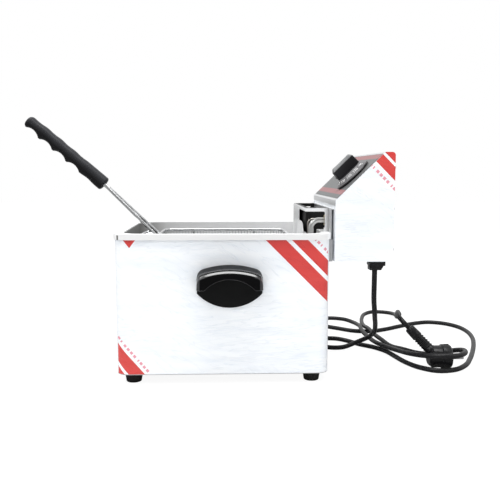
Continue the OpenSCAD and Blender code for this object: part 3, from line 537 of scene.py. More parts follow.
def lamp_lens():
    """Amber lens with moulded ribs inside."""
    finish = Finish("lens", Transmission_Weight=0.5, IOR=1.49)
    x, y, z = finish.xyz()
    ribs = (y * (2 * math.pi / LENS_RIB)).math("SINE") * 0.5 + 0.5
    spots = finish.noise(160.0, 2.0)
    amber = finish.mix(spots, (0.85, 0.30, 0.04), (0.95, 0.48, 0.10))
    return finish.done(amber, spots.swing(0.1) + 0.14, ribs, 0.15, 0.0004)


RED = (0.60, 0.035, 0.032)
PINK = (0.72, 0.20, 0.26)
DASH = (0.0072, 0.0046)  # pitch and length of a dash
DASH_GROUP = (0.031, 0.026)

# A print cuts a corner of the film. It has the corner in X and Z, the direction inwards, the red bands
# and the line of dashes by their distances from the corner, and the X and Z limits that it keeps to.
CASE_PRINTS = (
    (
        (TANK_X + 0.1632, 0.2190), (-1.0, -1.0), ((0.026, 0.043), (0.049, 0.0705)), (0.0155, 0.0195),
        (TANK_X, TANK_X + 0.17), (0.10, 0.23),
    ),
    (
        (TANK_X - 0.1605, 0.0170), (1.0, 0.86), ((0.0, 0.010), (0.0145, 0.033)), (0.0375, 0.0415),
        (TANK_X - 0.17, TANK_X - 0.06), (0.0, 0.10),
    ),
)
HEAD_PRINTS = (
    (
        (TANK_X + 0.2560, 0.3490), (-1.0, -1.0), ((0.0, 0.0115), (0.0155, 0.0300)), (0.0365, 0.0410),
        (TANK_X + 0.19, TANK_X + 0.26), (0.27, 0.36),
    ),
)
CASE_MARK = (TANK_X - 0.1373, 0.2075, 0.23)  # a red point under the rim: its middle, its tip and its top
CASE_FACE_Y = 0.1200
HEAD_FACE_Y = 0.1183


def corner_print(x, z, corner, inwards, reds, dashes, x_limits, z_limits):
    """Where a print is red, and where its dashes are."""
    length = math.hypot(*inwards)
    dx, dz = inwards[0] / length, inwards[1] / length
    across = (x - corner[0]) * dx + (z - corner[1]) * dz
    beside = (z - corner[1]) * dx - (x - corner[0]) * dz
    near = x.between(*x_limits) * z.between(*z_limits)
    red = across.between(*reds[0])
    for band in reds[1:]:
        red = red.most(across.between(*band))
    stroke = (beside % DASH[0]).below(DASH[1]) * (beside % DASH_GROUP[0]).below(DASH_GROUP[1])
    return red * near, across.between(*dashes) * stroke * near


def film(name, prints, face_y, centre, mark=None):
    """Thin white protective film over sheet steel, printed on its flat faces with plain bands and dashes, with
    painted shade along its folds and creases.
    """
    finish = Finish(name, Coat_Weight=0.3, Coat_Roughness=0.2)
    x, y, z = finish.xyz()
    flat = abs(y).above(face_y)
    red, dashes = corner_print(x, z, *prints[0])
    for other in prints[1:]:
        more_red, more_dashes = corner_print(x, z, *other)
        red, dashes = red.most(more_red), dashes.most(more_dashes)
    if mark:
        middle, tip, top = mark
        red = red.most((z - tip - abs(x - middle) * 1.3).above(0.0) * z.below(top))
    folds = finish.streaks((11.0, 11.0, 70.0), 3.0, (0.0, 0.05, 0.0), centre, 0.5)
    waves = finish.streaks((15.0, 15.0, 150.0), 2.0, (0.0, -0.08, 0.0), centre)
    slanted = finish.streaks((15.0, 15.0, 90.0), 2.0, (0.0, 0.55, 0.0), centre)
    patches = finish.noise(8.0, 2.0).ramp_from(0.44, 0.60)
    crease = 1 - abs(waves - 0.5).ramp_from(0.0, 0.026)
    slant = (1 - abs(slanted - 0.5).ramp_from(0.0, 0.022)) * (1 - patches)
    lines = (crease * patches).most(slant * 0.8)
    # Painted shade: the film's colour follows its folds and is darker along its creases.
    painted_fold_light = (folds.ramp_from(0.36, 0.64) * 0.6 + 0.4 - lines * 0.75).clamp()
    white = finish.mix(painted_fold_light, (0.80, 0.845, 0.90), (0.895, 0.92, 0.945))
    scarlet = finish.mix(painted_fold_light, RED, (0.66, 0.055, 0.048))
    printed = finish.mix(red * flat, white, scarlet)
    dashed = finish.mix(dashes * flat * 0.85, printed, PINK)
    return finish.done(dashed, folds.swing(0.2) + 0.36, folds * 0.5 + lines * 0.8, 0.45, 0.0012)


PANEL_FOOT = (TANK_X + 0.168, 0.277)  # lower edge of the sloping panel, in X and Z
PANEL_SLOPE = math.atan2(0.072, 0.0735)
PANEL_LINES = ((0.0120, 0.0215), (0.0885, 0.0980))  # distances up the slope


def panel_print():
    """Grey satin print with a plain red line near the panel's lower and upper edges."""
    finish = Finish("overlay", Metallic=0.2, Specular_IOR_Level=0.3)
    x, y, z = finish.xyz()
    up = (x - PANEL_FOOT[0]) * math.cos(PANEL_SLOPE) + (z - PANEL_FOOT[1]) * math.sin(PANEL_SLOPE)
    grain = finish.streaks((90.0, 1400.0, 90.0))
    line = up.between(*PANEL_LINES[0]).most(up.between(*PANEL_LINES[1]))
    grey = finish.mix(grain, (0.105, 0.109, 0.11), (0.148, 0.152, 0.153))
    lined = finish.mix(line * 0.75, grey, (0.36, 0.135, 0.14))
    return finish.done(lined, grain.swing(0.2) + 0.42, grain, 0.06)


def guard_finish():
    """Bright plate with a grey post, dull and dark inside where no light reaches it."""
    finish = Finish("chromed_sheet", Metallic=0.12)
    x, y, z = finish.xyz()
    inner_y = (GUARD_HALF - GUARD_SHEET * 0.6) - abs(y)
    inner_x = (x - (GUARD_X[0] + GUARD_SHEET * 0.6)).least(inner_y)
    inside = inner_x.above(0.0) * z.above(0.215)
    fine = finish.streaks((700.0, 700.0, 12.0))
    light = finish.mix(finish.noise(14.0, 3.0), (0.90, 0.91, 0.92), (0.96, 0.965, 0.97))
    post = x.ramp_from(GUARD_X[1] - 0.0085, GUARD_X[1] - 0.0005)
    outer = finish.mix(post, light, (0.36, 0.36, 0.365))
    shaded = finish.mix(inside, outer, (0.035, 0.035, 0.036))
    return finish.done(shaded, fine.swing(0.18) + 0.24 + inside * 0.35, fine, 0.03, 0.0004)


# ---- cord ----

CORD_D = 0.0082
CORD_SIDES = 12
CORD_STEP = 0.008

# Millimetres from the tank's middle; a point without a height lies on the floor, 0.2 mm clear of it
CORD_ON_FLOOR = 4.3
CORD_ROUTE = [
    Vector((TANK_X + x / 1000, y / 1000, (height[0] if height else CORD_ON_FLOOR) / 1000))
    for x, y, *height in (
        (237, -84, 168), (237, -84, 145), (238, -80, 120), (243, -65, 98), (251, -35, 78), (260, 0, 60),
        (266, 32, 41), (262, 56, 25), (242, 68, 12), (218, 62, 5), (194, 62), (176, 78), (172, 104),
        (188, 126), (214, 126), (234, 108), (250, 84), (272, 62), (288, 34), (296, 0), (304, -34),
        (318, -64), (342, -84), (372, -80), (398, -56), (420, -18), (442, 28), (462, 76), (478, 124),
        (486, 172), (482, 214), (464, 244), (434, 258), (398, 246), (362, 222), (328, 198), (294, 182),
        (262, 186), (234, 208), (208, 232), (195, 260), (204, 290), (232, 304), (260, 292), (275, 262),
        (278, 225, 7.5), (274, 190, 13.4), (270, 150, 13.4), (271, 105, 13.4), (276, 62, 13.4),
        (288, 28, 13.8), (299, -8, 17), (309, -46, 22), (326, -74, 26), (350, -88, 29), (374, -86, 29),
        (391, -71, 29), (396, -50, 28), (384, -30, 22), (358, -22, 14), (334, -8, 12), (314, 18, 12),
        (300, 48, 10), (291, 84, 13.4), (287, 125, 13.4), (286, 170, 13.4), (288, 212, 7.5), (292, 255),
        (301, 300), (316, 342), (340, 366), (368, 358, 4.6), (378, 328, 7.5), (372, 286, 13),
        (362, 242, 20), (352, 198, 30), (341, 152, 42), (329, 105, 54), (316, 55, 66), (302, 14, 79),
        (295, -14, 79), (298, -32.4, 73.5), (307, -38, 64),
    )
]


def make_cord(material):
    """The mains lead as one smooth tube from the gland to the neck of the plug, and its path."""
    points = curve_points(CORD_ROUTE, CORD_STEP)
    mesh = tube_mesh("cord_lead", points, CORD_D / 2, CORD_SIDES)
    return new_piece("cord_lead", mesh, "head", material, ("cord",)), points


# ---- woven basket ----

BASKET_X = TANK_X + 0.002
BASKET_FLOOR = 0.0996
MESH_L = 0.2108
MESH_W = 0.1738
MESH_PITCH = 0.00527
MESH_ROWS = 21
MESH_WIRE_D = 0.0011
MESH_CORNER_R = 0.0154
MESH_FLOOR_R = 0.0076
WIRE_SIDES = 5
BEND_STEPS = 6


class Weaver(Maker):
    """Nodes that bend one wire, copy it side by side and weave it over and under."""

    def __init__(self, material):
        settings = (
            ("Half pitch", MESH_PITCH / 2), ("Wire diameter", MESH_WIRE_D), ("Rise", MESH_WIRE_D / 2),
            ("Bend radius", 0.007), ("Corner radius", MESH_CORNER_R), ("Half length", MESH_L / 2),
            ("Half width", MESH_W / 2),
        )
        plane = (("Plane axis", "NodeSocketVector", (0, 1, 0)),)
        floats = tuple((name, "NodeSocketFloat", value) for name, value in settings)
        super().__init__("woven_wires", ROW_INPUTS + plane + floats)
        wire = self.node("GeometryNodeMeshToCurve", Mesh=self.given("Geometry"))
        bend = self.given("Bend radius")
        bent = self.node(
            "GeometryNodeFilletCurve", {"mode": "POLY"}, Curve=wire, Count=BEND_STEPS, Radius=bend
        )
        even = self.node(
            "GeometryNodeResampleCurve", {"mode": "LENGTH"}, Curve=bent, Length=self.given("Half pitch")
        )
        woven = self.node("GeometryNodeSetPosition", Geometry=self.in_a_row(even), Offset=self.wave())
        rounded = self.node("GeometryNodeSetPosition", Geometry=woven, Position=self.round_corners())
        radius = self.given("Wire diameter") * 0.5
        ring = self.node(
            "GeometryNodeCurvePrimitiveCircle", {"mode": "RADIUS"}, Resolution=WIRE_SIDES, Radius=radius
        )
        solid = self.node("GeometryNodeCurveToMesh", Curve=rounded, Profile_Curve=ring)
        self.end(self.node("GeometryNodeRealizeInstances", Geometry=solid), material)

    def wave(self):
        """Moves the wires out and in, each against its neighbours."""
        point = self.node("GeometryNodeSplineParameter", output="Index")
        number = self.node("GeometryNodeInputIndex")
        which = self.node("GeometryNodeCurveOfPoint", output="Curve Index", Point_Index=number)
        wave = ((point * 0.5 + which) * math.pi + math.pi / 2).math("SINE")
        along = self.node("GeometryNodeInputTangent")
        outwards = self.vector("NORMALIZE", self.vector("CROSS_PRODUCT", along, self.given("Plane axis")))
        return self.vector("MULTIPLY", outwards, wave * self.given("Rise"))

    def round_corners(self):
        """Squeezes the square corners of the plan into round ones, about the piece's own middle."""
        x, y, z = self.axes(self.node("GeometryNodeInputPosition"))
        radius, half_l, half_w = (self.given(name) for name in ("Corner radius", "Half length", "Half width"))
        over_x = abs(x) - half_l + radius
        over_y = abs(y) - half_w + radius
        inside = over_x.most(0.0)
        beside = over_y.most(0.0)
        reach = (inside * inside + beside * beside).math("SQRT").most(1e-6)
        share = inside.most(beside) / reach
        new_x = (inside * share + (over_x - inside) - radius + half_l) * x.math("SIGN")
        new_y = (beside * share + (over_y - beside) - radius + half_w) * y.math("SIGN")
        return self.node("ShaderNodeCombineXYZ", X=new_x, Y=new_y, Z=z)

    def weave(self, name, points, closed, **values):
        """Weaves copies of a wire that runs through points."""
        mesh = bpy.data.meshes.new(name)
        ends = [(len(points) - 1, 0)] if closed else []
        mesh.from_pydata(points, [(i, i + 1) for i in range(len(points) - 1)] + ends, [])
        return self.make(name, mesh, **values)


def make_basket_mesh(material):
    """Woven wire cloth: wires across both ways and up the walls, and rings round the walls."""
    weaver = Weaver(material)
    half_l, half_w, pitch = MESH_L / 2, MESH_W / 2, MESH_PITCH
    saved = MESH_FLOOR_R * (2 - math.pi / 2)  # what each bend takes off a wire's length
    top = MESH_ROWS * pitch + saved
    lengthways, crossways = round(MESH_L / pitch), round(MESH_W / pitch)
    first_x = -(lengthways / 2 - 1) * pitch
    first_y = -(crossways / 2 - 0.5) * pitch
    corners = ((-half_l, -half_w), (half_l, -half_w), (half_l, half_w), (-half_l, half_w))

    def trough(half):
        return ((-half, top), (-half, 0), (half, 0), (half, top))

    joined = bmesh.new()
    for name, axis, copies, closed, points in (
        ("long_wires", (0, 1, 0), crossways, False, [(x, first_y, z) for x, z in trough(half_l)]),
        ("cross_wires", (1, 0, 0), lengthways - 1, False, [(first_x, y, z) for y, z in trough(half_w)]),
        ("ring_wires", (0, 0, 1), MESH_ROWS, True, [(x, y, saved + pitch) for x, y in corners]),
    ):
        step = tuple(c * pitch for c in axis)
        bend = 0.0 if closed else MESH_FLOOR_R
        part = weaver.weave(name, points, closed, Copies=copies, Step=step, Plane_axis=axis, Bend_radius=bend)
        joined.from_mesh(part)
        bpy.data.meshes.remove(part)
    bmesh.ops.translate(joined, verts=joined.verts, vec=(BASKET_X, 0, BASKET_FLOOR + MESH_WIRE_D / 2))
    mesh = close_edit(joined, "woven_basket", 80)
    new_piece("woven_basket", mesh, "basket", material, ("basket_mesh",))


# ---- softened copies of moulded solids ----


def body_of(node):
    for body, members in frame["record"]["behaviour"]["bodies"].items():
        if node in members:
            return body


def soften(node, material, width):
    """Stands a copy with rounded edges in a moulded solid's place."""
    mesh_edit = edit_of(node)
    bmesh.ops.dissolve_limit(
        mesh_edit, angle_limit=math.radians(1.0), verts=mesh_edit.verts, edges=mesh_edit.edges
    )
    piece = linked(node + "_rough", close_edit(mesh_edit, node + "_moulded"))
    rounding = piece.modifiers.new("rounding", "BEVEL")
    rounding.width = width
    rounding.segments = 3
    rounding.limit_method = "ANGLE"
    rounding.angle_limit = math.radians(30.0)
    rounding.use_clamp_overlap = True
    rounding.harden_normals = True
    mesh = baked(piece)
    smooth(mesh, 55)
    new_piece(node + "_moulded", mesh, body_of(node), material, (node,))


def cut_out(mesh, cutter):
    """Takes one closed mesh away from another."""
    piece, tool = linked("solid", mesh), linked("tool", cutter)
    cut = piece.modifiers.new("cut", "BOOLEAN")
    cut.object = tool
    cut.solver = "EXACT"
    made = baked(piece)
    bpy.data.objects.remove(tool)
    return made


# ---- grip ----

GRIP_FOOT = Vector((TANK_X - 0.19316, 0, 0.29777))
GRIP_ANGLE = math.radians(40.5)
GRIP_L = 0.159
GRIP_T = 0.023
GRIP_W = 0.025
GRIP_STEPS = 212
GRIP_SIDES = 40
GRIP_SQUARENESS = 2.7  # 2 makes an ellipse, more makes it squarer
GROOVES = (0.018, 0.046, 0.074, 0.102)  # from the tip
GROOVE_R = 0.0195
GROOVE_DEEP = 0.0048
WAVE_DEEP = 0.0009  # dips on top, over the grooves
WAVE_W = 0.005
HOLLOW = (0.131, 0.0014, 0.007)  # last shallow hollow below: from the tip, depth and spread
TAPER = (0.0018, 0.05)  # at the tip: how much, and over what length
SLOT_L = 0.010
SLOT_W = 0.04
SLOT_H = 0.0045


def grip_section(t):
    """Top, bottom and half-width of the grip at a distance from its wire end."""
    from_tip = GRIP_L - t
    top, bottom, side = GRIP_T / 2, GRIP_T / 2, GRIP_W / 2
    for place in GROOVES:
        away = abs(from_tip - place)
        if away < GROOVE_R:
            arc = math.sqrt(GROOVE_R**2 - away**2) - (GROOVE_R - GROOVE_DEEP)
            bottom = min(bottom, GRIP_T / 2 - max(arc, 0))
        top -= WAVE_DEEP * math.exp(-((away - 0.002) ** 2) / (2 * WAVE_W**2))
    place, depth, spread = HOLLOW
    bottom -= depth * math.exp(-((from_tip - place) ** 2) / (2 * spread**2))
    narrow = TAPER[0] * max(0.0, 1 - from_tip / TAPER[1]) ** 2
    ends = 1.0
    for away, radius in ((from_tip, 0.0055), (t, 0.0035)):
        if away < radius:
            ends = min(ends, math.sqrt(max(0.0, 1 - ((radius - away) / radius) ** 2)))
    soft = 0.0052 * (1 - ends)
    return top - narrow - soft, bottom - narrow - soft, side - 0.5 * narrow - soft


def make_grip(material):
    """The basket's grip: round in section, with finger grooves below and a slot at its wire end."""
    along = Vector((-math.cos(GRIP_ANGLE), 0, math.sin(GRIP_ANGLE)))
    up = Vector((math.sin(GRIP_ANGLE), 0, math.cos(GRIP_ANGLE)))
    across = Vector((0, 1, 0))

    def bulged(value):
        return math.copysign(abs(value) ** (2 / GRIP_SQUARENESS), value)

    rings = []
    for i in range(GRIP_STEPS + 1):
        t = (0.5 - 0.5 * math.cos(math.pi * i / GRIP_STEPS) + i / GRIP_STEPS) * GRIP_L / 2
        top, bottom, side = grip_section(t)
        ring = []
        for k in range(GRIP_SIDES):
            a = 2 * math.pi * k / GRIP_SIDES
            height = bulged(math.sin(a)) * (top if math.sin(a) > 0 else bottom)
            ring.append(GRIP_FOOT + along * t + across * bulged(math.cos(a)) * side + up * height)
        rings.append(ring)
    turn = Matrix((along, across, up)).transposed()
    size = Vector((2 * SLOT_L, SLOT_W, SLOT_H))
    slot = close_edit(cube_edit(lambda corner: GRIP_FOOT + turn @ (corner * size)), "slot")
    mesh = cut_out(lofted("grip", None, rings), slot)
    smooth(mesh, 45)
    new_piece("grip", mesh, "basket", material, ("handle_grip",))


# ---- side handles ----

GRAB_X = TANK_X + 0.010
GRAB_Z = 0.1505
GRAB_WALL_Y = 0.1293
GRAB_HALF = 0.0485
GRAB_TOP = 0.032
GRAB_DEEP = 0.034
GRAB_TOP_R = 0.126
GRAB_CORNER_R = 0.013
GRAB_LOWER_R = 0.066
GRAB_END_R = 0.006
GRAB_PLATE = 0.004
GRAB_WALL = 0.0035
GRAB_STEPS = 26
ARCH_HALF = 0.0367
ARCH_TOP = 0.0147
ARCH_FOOT = -0.0015
ARCH_R = (ARCH_HALF**2 + (ARCH_TOP - ARCH_FOOT) ** 2) / (2 * (ARCH_TOP - ARCH_FOOT))


def grab_profile(x):
    """Section of a side handle across X: (distance from the wall, height) and a radius for each corner."""
    x = abs(x)
    corner_x = GRAB_HALF - GRAB_CORNER_R
    corner_z = GRAB_TOP - GRAB_TOP_R + math.sqrt((GRAB_TOP_R - GRAB_CORNER_R) ** 2 - corner_x**2)
    if x > corner_x * GRAB_TOP_R / (GRAB_TOP_R - GRAB_CORNER_R):
        top = corner_z + math.sqrt(max(0.0, GRAB_CORNER_R**2 - (x - corner_x) ** 2))
    else:
        top = GRAB_TOP - GRAB_TOP_R + math.sqrt(GRAB_TOP_R**2 - x * x)
    low = -GRAB_TOP + GRAB_LOWER_R - math.sqrt(GRAB_LOWER_R**2 - x * x)
    deep = GRAB_DEEP
    if x > GRAB_HALF - GRAB_END_R:
        deep += math.sqrt(max(0.0, GRAB_END_R**2 - (x - GRAB_HALF + GRAB_END_R) ** 2)) - GRAB_END_R
    arch = ARCH_FOOT
    if x < ARCH_HALF:
        arch = ARCH_TOP - ARCH_R + math.sqrt(ARCH_R**2 - x * x)
    roof = top - GRAB_WALL if x < GRAB_HALF - GRAB_WALL else arch + 0.0001
    return [
        ((0.0, low), 0.0),
        ((GRAB_PLATE, low), 0.0012),
        ((GRAB_PLATE, roof), 0.0),
        ((deep - GRAB_WALL, roof), 0.0),
        ((deep - GRAB_WALL, arch), 0.0012),
        ((deep, arch), 0.0015),
        ((deep, top - 0.0088), 0.0018),
        ((deep - 0.0060, top - 0.0030), 0.0024),
        ((0.004, top), 0.002),
        ((0.0, top), 0.0),
    ]


def rounded(profile, steps=5):
    """Rounds the corners of a profile, always into the same number of points."""
    out = []
    for i, (point, radius) in enumerate(profile):
        here = Vector(point)
        if radius == 0.0:
            out.append(here)
            continue
        before, after = Vector(profile[i - 1][0]) - here, Vector(profile[(i + 1) % len(profile)][0]) - here
        reach = min(radius, before.length * 0.45, after.length * 0.45)
        start, end = here + before.normalized() * reach, here + after.normalized() * reach
        for k in range(steps + 1):
            t = k / steps
            out.append(start * (1 - t) ** 2 + here * 2 * t * (1 - t) + end * t**2)
    return out


def make_side_handle(node, side, material):
    """A hooded handle: its sections are lofted along X."""
    places = {GRAB_HALF * math.sin(math.pi / 2 * i / GRAB_STEPS) for i in range(GRAB_STEPS + 1)}
    places |= {edge + d for edge in (ARCH_HALF, GRAB_HALF - GRAB_WALL) for d in (-0.0001, 0.0001)}
    sections = [
        [(GRAB_X + x, side * (GRAB_WALL_Y + out), GRAB_Z + z) for out, z in rounded(grab_profile(x))]
        for x in sorted(places | {-x for x in places})
    ]
    mesh = lofted(node + "_moulded", 38, sections, merge=0.000001)
    new_piece(node + "_moulded", mesh, "case", material, (node,))


# ---- element guard ----

GUARD_X = (TANK_X + 0.127, TANK_X + 0.1633)
GUARD_HALF = 0.0855
GUARD_SHEET = 0.0012
OPENING_Z = (0.200, 0.2588)
OPENING_CLIMB = (0.236, 0.244)  # heights of the lower edge on the tank side, at its middle and far end
OPENING_FAR = -0.010
# A dark block inside the guard stands in for the shade there.
DARK_BLOCK = ((GUARD_X[0] + 0.006, -0.043, 0.221), (TANK_X + 0.168, 0.066, 0.2575))  # lowest and highest corners
DARK_BLOCK_ROUND = 0.004


def corner_cutter():
    """A block through both walls of the guard's near corner; its lower edge climbs along the tank side."""
    low, high = OPENING_Z
    mid_floor, far_floor = OPENING_CLIMB
    left, right = GUARD_X[0] - 0.005, GUARD_X[1] - 0.0075
    near, mid, far = -GUARD_HALF - 0.005, -GUARD_HALF + 0.030, OPENING_FAR
    plan = ((left, near), (right, near), (right, mid), (right, far), (left, far), (left, mid))
    floor = (low, low, low, far_floor, far_floor, mid_floor)
    mesh_edit = bmesh.new()
    bottom = [mesh_edit.verts.new((x, y, z)) for (x, y), z in zip(plan, floor)]
    top = [mesh_edit.verts.new((x, y, high)) for x, y in plan]
    for k in range(len(plan)):
        n = (k + 1) % len(plan)
        mesh_edit.faces.new((bottom[k], bottom[n], top[n], top[k]))
    for ring in (bottom, top):
        for corners in ((0, 1, 2, 5), (5, 2, 3, 4)):
            mesh_edit.faces.new([ring[k] for k in corners])
    bmesh.ops.triangulate(mesh_edit, faces=mesh_edit.faces)
    bmesh.ops.recalc_face_normals(mesh_edit, faces=mesh_edit.faces)
    return close_edit(mesh_edit, "corner_cutter")


def make_guard(material):
    """The element guard with its near corner open, so that the element's bends show."""
    mesh = cut_out(close_edit(edit_of("element_guard"), "guard_plate"), corner_cutter())
    smooth(mesh, 35)
    new_piece("guard_plate", mesh, "head", material, ("element_guard",))


def make_dark_block(material):
    """A black block in the middle of the guard, over the head's wall: a dark piece that stands in for the shade
    inside the guard.
    """
    mesh_edit = cube_edit(lambda corner: Vector(limits[c > 0] for limits, c in zip(zip(*DARK_BLOCK), corner)))
    bmesh.ops.bevel(
        mesh_edit, geom=mesh_edit.edges[:], offset=DARK_BLOCK_ROUND, segments=4, affect="EDGES", profile=0.5
    )
    mesh = close_edit(mesh_edit, "dark_block", 50)
    new_piece("dark_block", mesh, "head", material)


# ---- knob ----

PANEL_ACROSS = Vector((0, -1, 0))
PANEL_OUT = Vector((-0.6998, 0, 0.7143))
PANEL_UP = PANEL_OUT.cross(PANEL_ACROSS)
KNOB_CENTRE = Vector((TANK_X + 0.20476, -0.064, 0.3130)) + PANEL_OUT * 0.0017
KNOB_SIDES = 72
SKIRT_R = 0.031
SKIRT_EDGE = 0.0022
CONE_R = 0.0205
CONE_H = 0.0098
BAR_L = 0.043
BAR_W = 0.017
BAR_SCOOP = 0.0030
BAR_CORNER = 0.0026
BAR_STEPS = 24
KNOB_H = 0.029
SCALE_MARKS = ("0", "50", "70", "90", "110", "130", "150", "170", "190")
SCALE_START = math.radians(-200)
SCALE_STEP = math.radians(30)
NUMBER_H = 0.0046
NUMBER_T = 0.0003
NUMBER_LIFT = 0.00012


def bar_outline(inset):
    """Outline of the knob's finger bar, with scooped sides and round corners."""
    half_l = BAR_L / 2 - inset
    straight = half_l - BAR_CORNER
    points = []
    for side in (1, -1):
        half_w = side * (BAR_W / 2 - inset)
        for k in range(BAR_STEPS + 1):
            x = side * straight * (1 - 2 * k / BAR_STEPS)
            points.append((x, half_w - side * BAR_SCOOP * math.cos(math.pi / 2 * x / half_l)))
        for k in range(1, 6):
            a = math.pi / 2 + math.pi / 6 * k
            points.append((-side * straight + side * BAR_CORNER * math.cos(a), half_w * math.sin(a)))
    return points


def make_knob(material):
    """The knob: a skirt with a wide sloping edge, and a scooped finger bar that runs up the panel."""
    skirt = (
        (0.0, SKIRT_R - 0.0004), (0.0004, SKIRT_R), (SKIRT_EDGE - 0.0008, SKIRT_R),
        (SKIRT_EDGE, SKIRT_R - 0.0006), (CONE_H - 0.0003, CONE_R + 0.0006), (CONE_H, CONE_R - 0.0003),
        (CONE_H + 0.0004, 0.004),
    )
    bar = (
        (CONE_H - 0.001, 0.0), (KNOB_H - 0.0052, 0.0006), (KNOB_H - 0.0020, 0.0028),
        (KNOB_H - 0.0004, 0.0040), (KNOB_H, 0.0050),
    )
    layers = [
        [KNOB_CENTRE + PANEL_UP * x + PANEL_ACROSS * y + PANEL_OUT * height for x, y in bar_outline(inset)]
        for height, inset in bar
    ]
    mesh = lofted("knob_moulded", 42, turned(KNOB_CENTRE, PANEL_OUT, PANEL_ACROSS, skirt, KNOB_SIDES), layers)
    new_piece("knob_moulded", mesh, "knob", material, ("knob",))


def number_mesh(text):
    """A number as a thin mesh, centred, lying in X and Y."""
    curve = bpy.data.curves.new("number", "FONT")
    curve.body = text
    curve.size = NUMBER_H / 0.7  # a digit is 0.7 of the type's size
    curve.extrude = NUMBER_T / 2
    curve.align_x = "CENTER"
    curve.align_y = "CENTER"
    curve.resolution_u = 3
    return baked(linked("number", curve))


def make_knob_scale(material):
    """White numbers round the sloping edge of the knob's skirt."""
    joined = bmesh.new()
    radius = (SKIRT_R + CONE_R) / 2
    height = (SKIRT_EDGE + CONE_H) / 2
    fall = math.atan2(CONE_H - SKIRT_EDGE, SKIRT_R - CONE_R)
    for i, text in enumerate(SCALE_MARKS):
        outwards = Matrix.Rotation(SCALE_START + i * SCALE_STEP, 3, PANEL_OUT) @ PANEL_ACROSS
        facing = outwards * math.sin(fall) + PANEL_OUT * math.cos(fall)
        up = PANEL_OUT * math.sin(fall) - outwards * math.cos(fall)
        place = Matrix((up.cross(facing), up, facing)).transposed().to_4x4()
        centre = KNOB_CENTRE + outwards * radius + PANEL_OUT * height
        place.translation = centre + facing * NUMBER_LIFT
        mesh = number_mesh(text)
        mesh.transform(place)
        joined.from_mesh(mesh)
        bpy.data.meshes.remove(mesh)
    new_piece("knob_scale", close_edit(joined, "knob_scale"), "knob", material)


# ---- plug's bend relief ----

NECK_FOOT = Vector((TANK_X + 0.341, -0.059, 0.028))
NECK_RIBS = 6
NECK_STEP = 0.0047
NECK_FIRST_RIB = 0.0105
NECK_SIDES = 32
RIB_SIDES = 24


def make_neck(material):
    """The plug's bend relief: a thick sleeve with a collar, and ribs copied along it by nodes."""
    axis = CORD_ROUTE[-1] - NECK_FOOT
    length = axis.length
    axis.normalize()
    side = axis.orthogonal().normalized()
    sleeve = (
        (-0.004, 0.0070), (0.0, 0.0092), (0.006, 0.0094), (0.0085, 0.0080), (0.034, 0.0073),
        (0.0355, 0.0082), (0.0365, 0.0084), (length - 0.004, 0.0080), (length - 0.001, 0.0072),
        (length, 0.0052),
    )
    rib = ((-0.0013, 0.0070), (-0.0010, 0.0087), (0.0010, 0.0087), (0.0013, 0.0070))
    mesh = lofted("neck_sleeve", 35, turned(NECK_FOOT, axis, side, sleeve, NECK_SIDES))
    new_piece("neck_sleeve", mesh, "head", material)
    first = lofted("neck_rib", None, turned(NECK_FOOT + axis * NECK_FIRST_RIB, axis, side, rib, RIB_SIDES))
    row = Maker("neck_ribs", ROW_INPUTS)
    row.end(row.in_a_row(row.given("Geometry")), material)
    ribs = row.make("neck_ribs", first, Copies=NECK_RIBS, Step=tuple(axis * NECK_STEP))
    smooth(ribs, 50)
    new_piece("neck_ribs", ribs, "head", None)


# ---- lights and floor ----

FLOOR_HALF = 6
LAMPS_AIM = Vector((0, 0, 0.2))
LAMPS = (  # name, place, size and power
    ("key", (-1.1, -1.6, 1.9), (1.0, 1.0), 14.8),
    ("fill", (1.7, -1.4, 1.3), (1.0, 1.0), 8.0),
    ("top", (0.1, -0.45, 2.1), (1.6, 0.7), 31.0),
    ("back", (-1.0, 0.45, 1.9), (1.4, 1.1), 17.0),
)


def make_studio():
    """White floor and world, with soft lamps above, in front and behind."""
    mesh = bpy.data.meshes.new("floor")
    corners = [(x * FLOOR_HALF, y * FLOOR_HALF, 0) for x, y in ((-1, -1), (1, -1), (1, 1), (-1, 1))]
    mesh.from_pydata(corners, [], [(0, 1, 2, 3)])
    white = Finish("floor_white", Roughness=0.9, Base_Color=(0.95, 0.95, 0.95))
    seen = white.ray("Camera")
    glow = white.node("ShaderNodeEmission", Strength=seen * 1.05 + 0.10)
    shade = white.node(
        "ShaderNodeMixShader",
        i0=(seen * 0.8).most(white.ray("Glossy") * 0.7),
        i1=Socket(white.tree, white.shader.outputs[0]),
        i2=glow,
    )
    white.tree.links.new(shade.out, white.tree.nodes["Material Output"].inputs[0])
    mesh.materials.append(white.material)
    linked("floor", mesh)

    scene.world = bpy.data.worlds.new("studio")
    scene.world.use_nodes = True
    sky = Nodes(scene.world.node_tree)
    mirrored = sky.ray("Glossy").most(sky.ray("Transmission"))
    behind = sky.axes(sky.node("ShaderNodeTexCoord", output="Generated"))[1].ramp_from(-0.6, 0.25)
    strength = sky.ray("Camera").most(mirrored * (behind * 0.60 + 0.30)).most(sky.ray("Diffuse") * 0.45)
    back = sky.tree.nodes["Background"]
    feed(sky.tree, back.inputs["Color"], (1, 1, 1))
    feed(sky.tree, back.inputs["Strength"], strength)

    for name, place, size, power in LAMPS:
        data = bpy.data.lights.new(name, "AREA")
        data.shape = "RECTANGLE"
        data.size, data.size_y = size
        data.energy = power
        lamp = linked(name, data)
        lamp.location = place
        lamp.rotation_euler = (LAMPS_AIM - Vector(place)).to_track_quat("-Z", "Y").to_euler()


# ---- making ----


def dress(material, *names):
    """Gives solids their finish."""
    for name in names:
        for slot in nodes[name].material_slots:
            slot.material = material


make_camera()
cord_lead, cord_points = make_cord(cord_rubber())
make_basket_mesh(wire_steel("mesh", (0.62, 0.63, 0.64), 0.3))

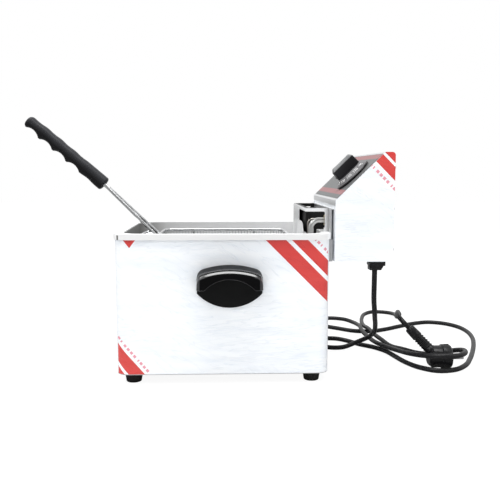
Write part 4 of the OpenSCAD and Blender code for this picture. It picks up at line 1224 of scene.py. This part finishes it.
foot_rubber = moulded("foot_rubber", (0.012, 0.012, 0.012), 0.6, 700.0, 0.15, 0.2)
plug_black = moulded("plug_rubber", (0.007, 0.007, 0.008), 0.30, 900.0, 0.08, 0.3)
bezel_black = moulded("bezel_plastic", (0.007, 0.007, 0.009), 0.28, 900.0, 0.05)
bakelite = polished_bakelite()

dress(film("case_film", CASE_PRINTS, CASE_FACE_Y, (0, 0, 0), CASE_MARK), "case_shell")
dress(film("head_film", HEAD_PRINTS, HEAD_FACE_Y, (0.1, 0, 0)), "head_body")
dress(bare_steel(), "base_plate", "head_rails", "head_cover", "head_hanger", "tie_bars")
dress(tank_finish(), "oil_tank")
dress(
    wire_steel("chromed_wire", (0.72, 0.73, 0.74), 0.24),
    "basket_rim", "basket_frame", "basket_hook", "handle_stem",
)
dress(
    wire_steel("fixings", (0.80, 0.80, 0.81), 0.2),
    "foot_screws", "cover_screws", "thermostat_shaft", "reset_bush",
)
dress(wire_steel("pins", (0.82, 0.82, 0.82), 0.18), "plug_pins")
dress(wire_steel("brass", (0.58, 0.52, 0.36), 0.34), "element_nuts")
dress(wire_steel("copper", (0.56, 0.52, 0.48), 0.32), "sensor_bulbs")
dress(heated_steel(), "heating_element")
dress(panel_print(), "panel_overlay")
dress(lamp_lens(), "lamp_lenses")
dress(moulded("inner_parts", (0.25, 0.24, 0.22), 0.5), "thermostat", "limit_cutout")
dress(moulded("terminal", (0.78, 0.75, 0.65), 0.45, gloss=0.5), "terminal_block")
dress(moulded("reset_red", (0.70, 0.03, 0.03), 0.25, gloss=0.5), "reset_button")

make_grip(grip_plastic())
make_side_handle("side_handle_near", -1, bakelite)
make_side_handle("side_handle_far", 1, bakelite)
make_guard(guard_finish())
make_dark_block(foot_rubber)
make_knob(knob_plastic())
soften("lamp_bezels", bezel_black, 0.0005)
soften("feet", foot_rubber, 0.0012)
soften("cord_gland", plug_black, 0.0010)
soften("plug_body", plug_black, 0.0012)
make_knob_scale(moulded("number_white", (0.72, 0.72, 0.72), 0.5, gloss=0.5))
make_neck(plug_black)
make_studio()
scene.view_settings.view_transform = "Standard"
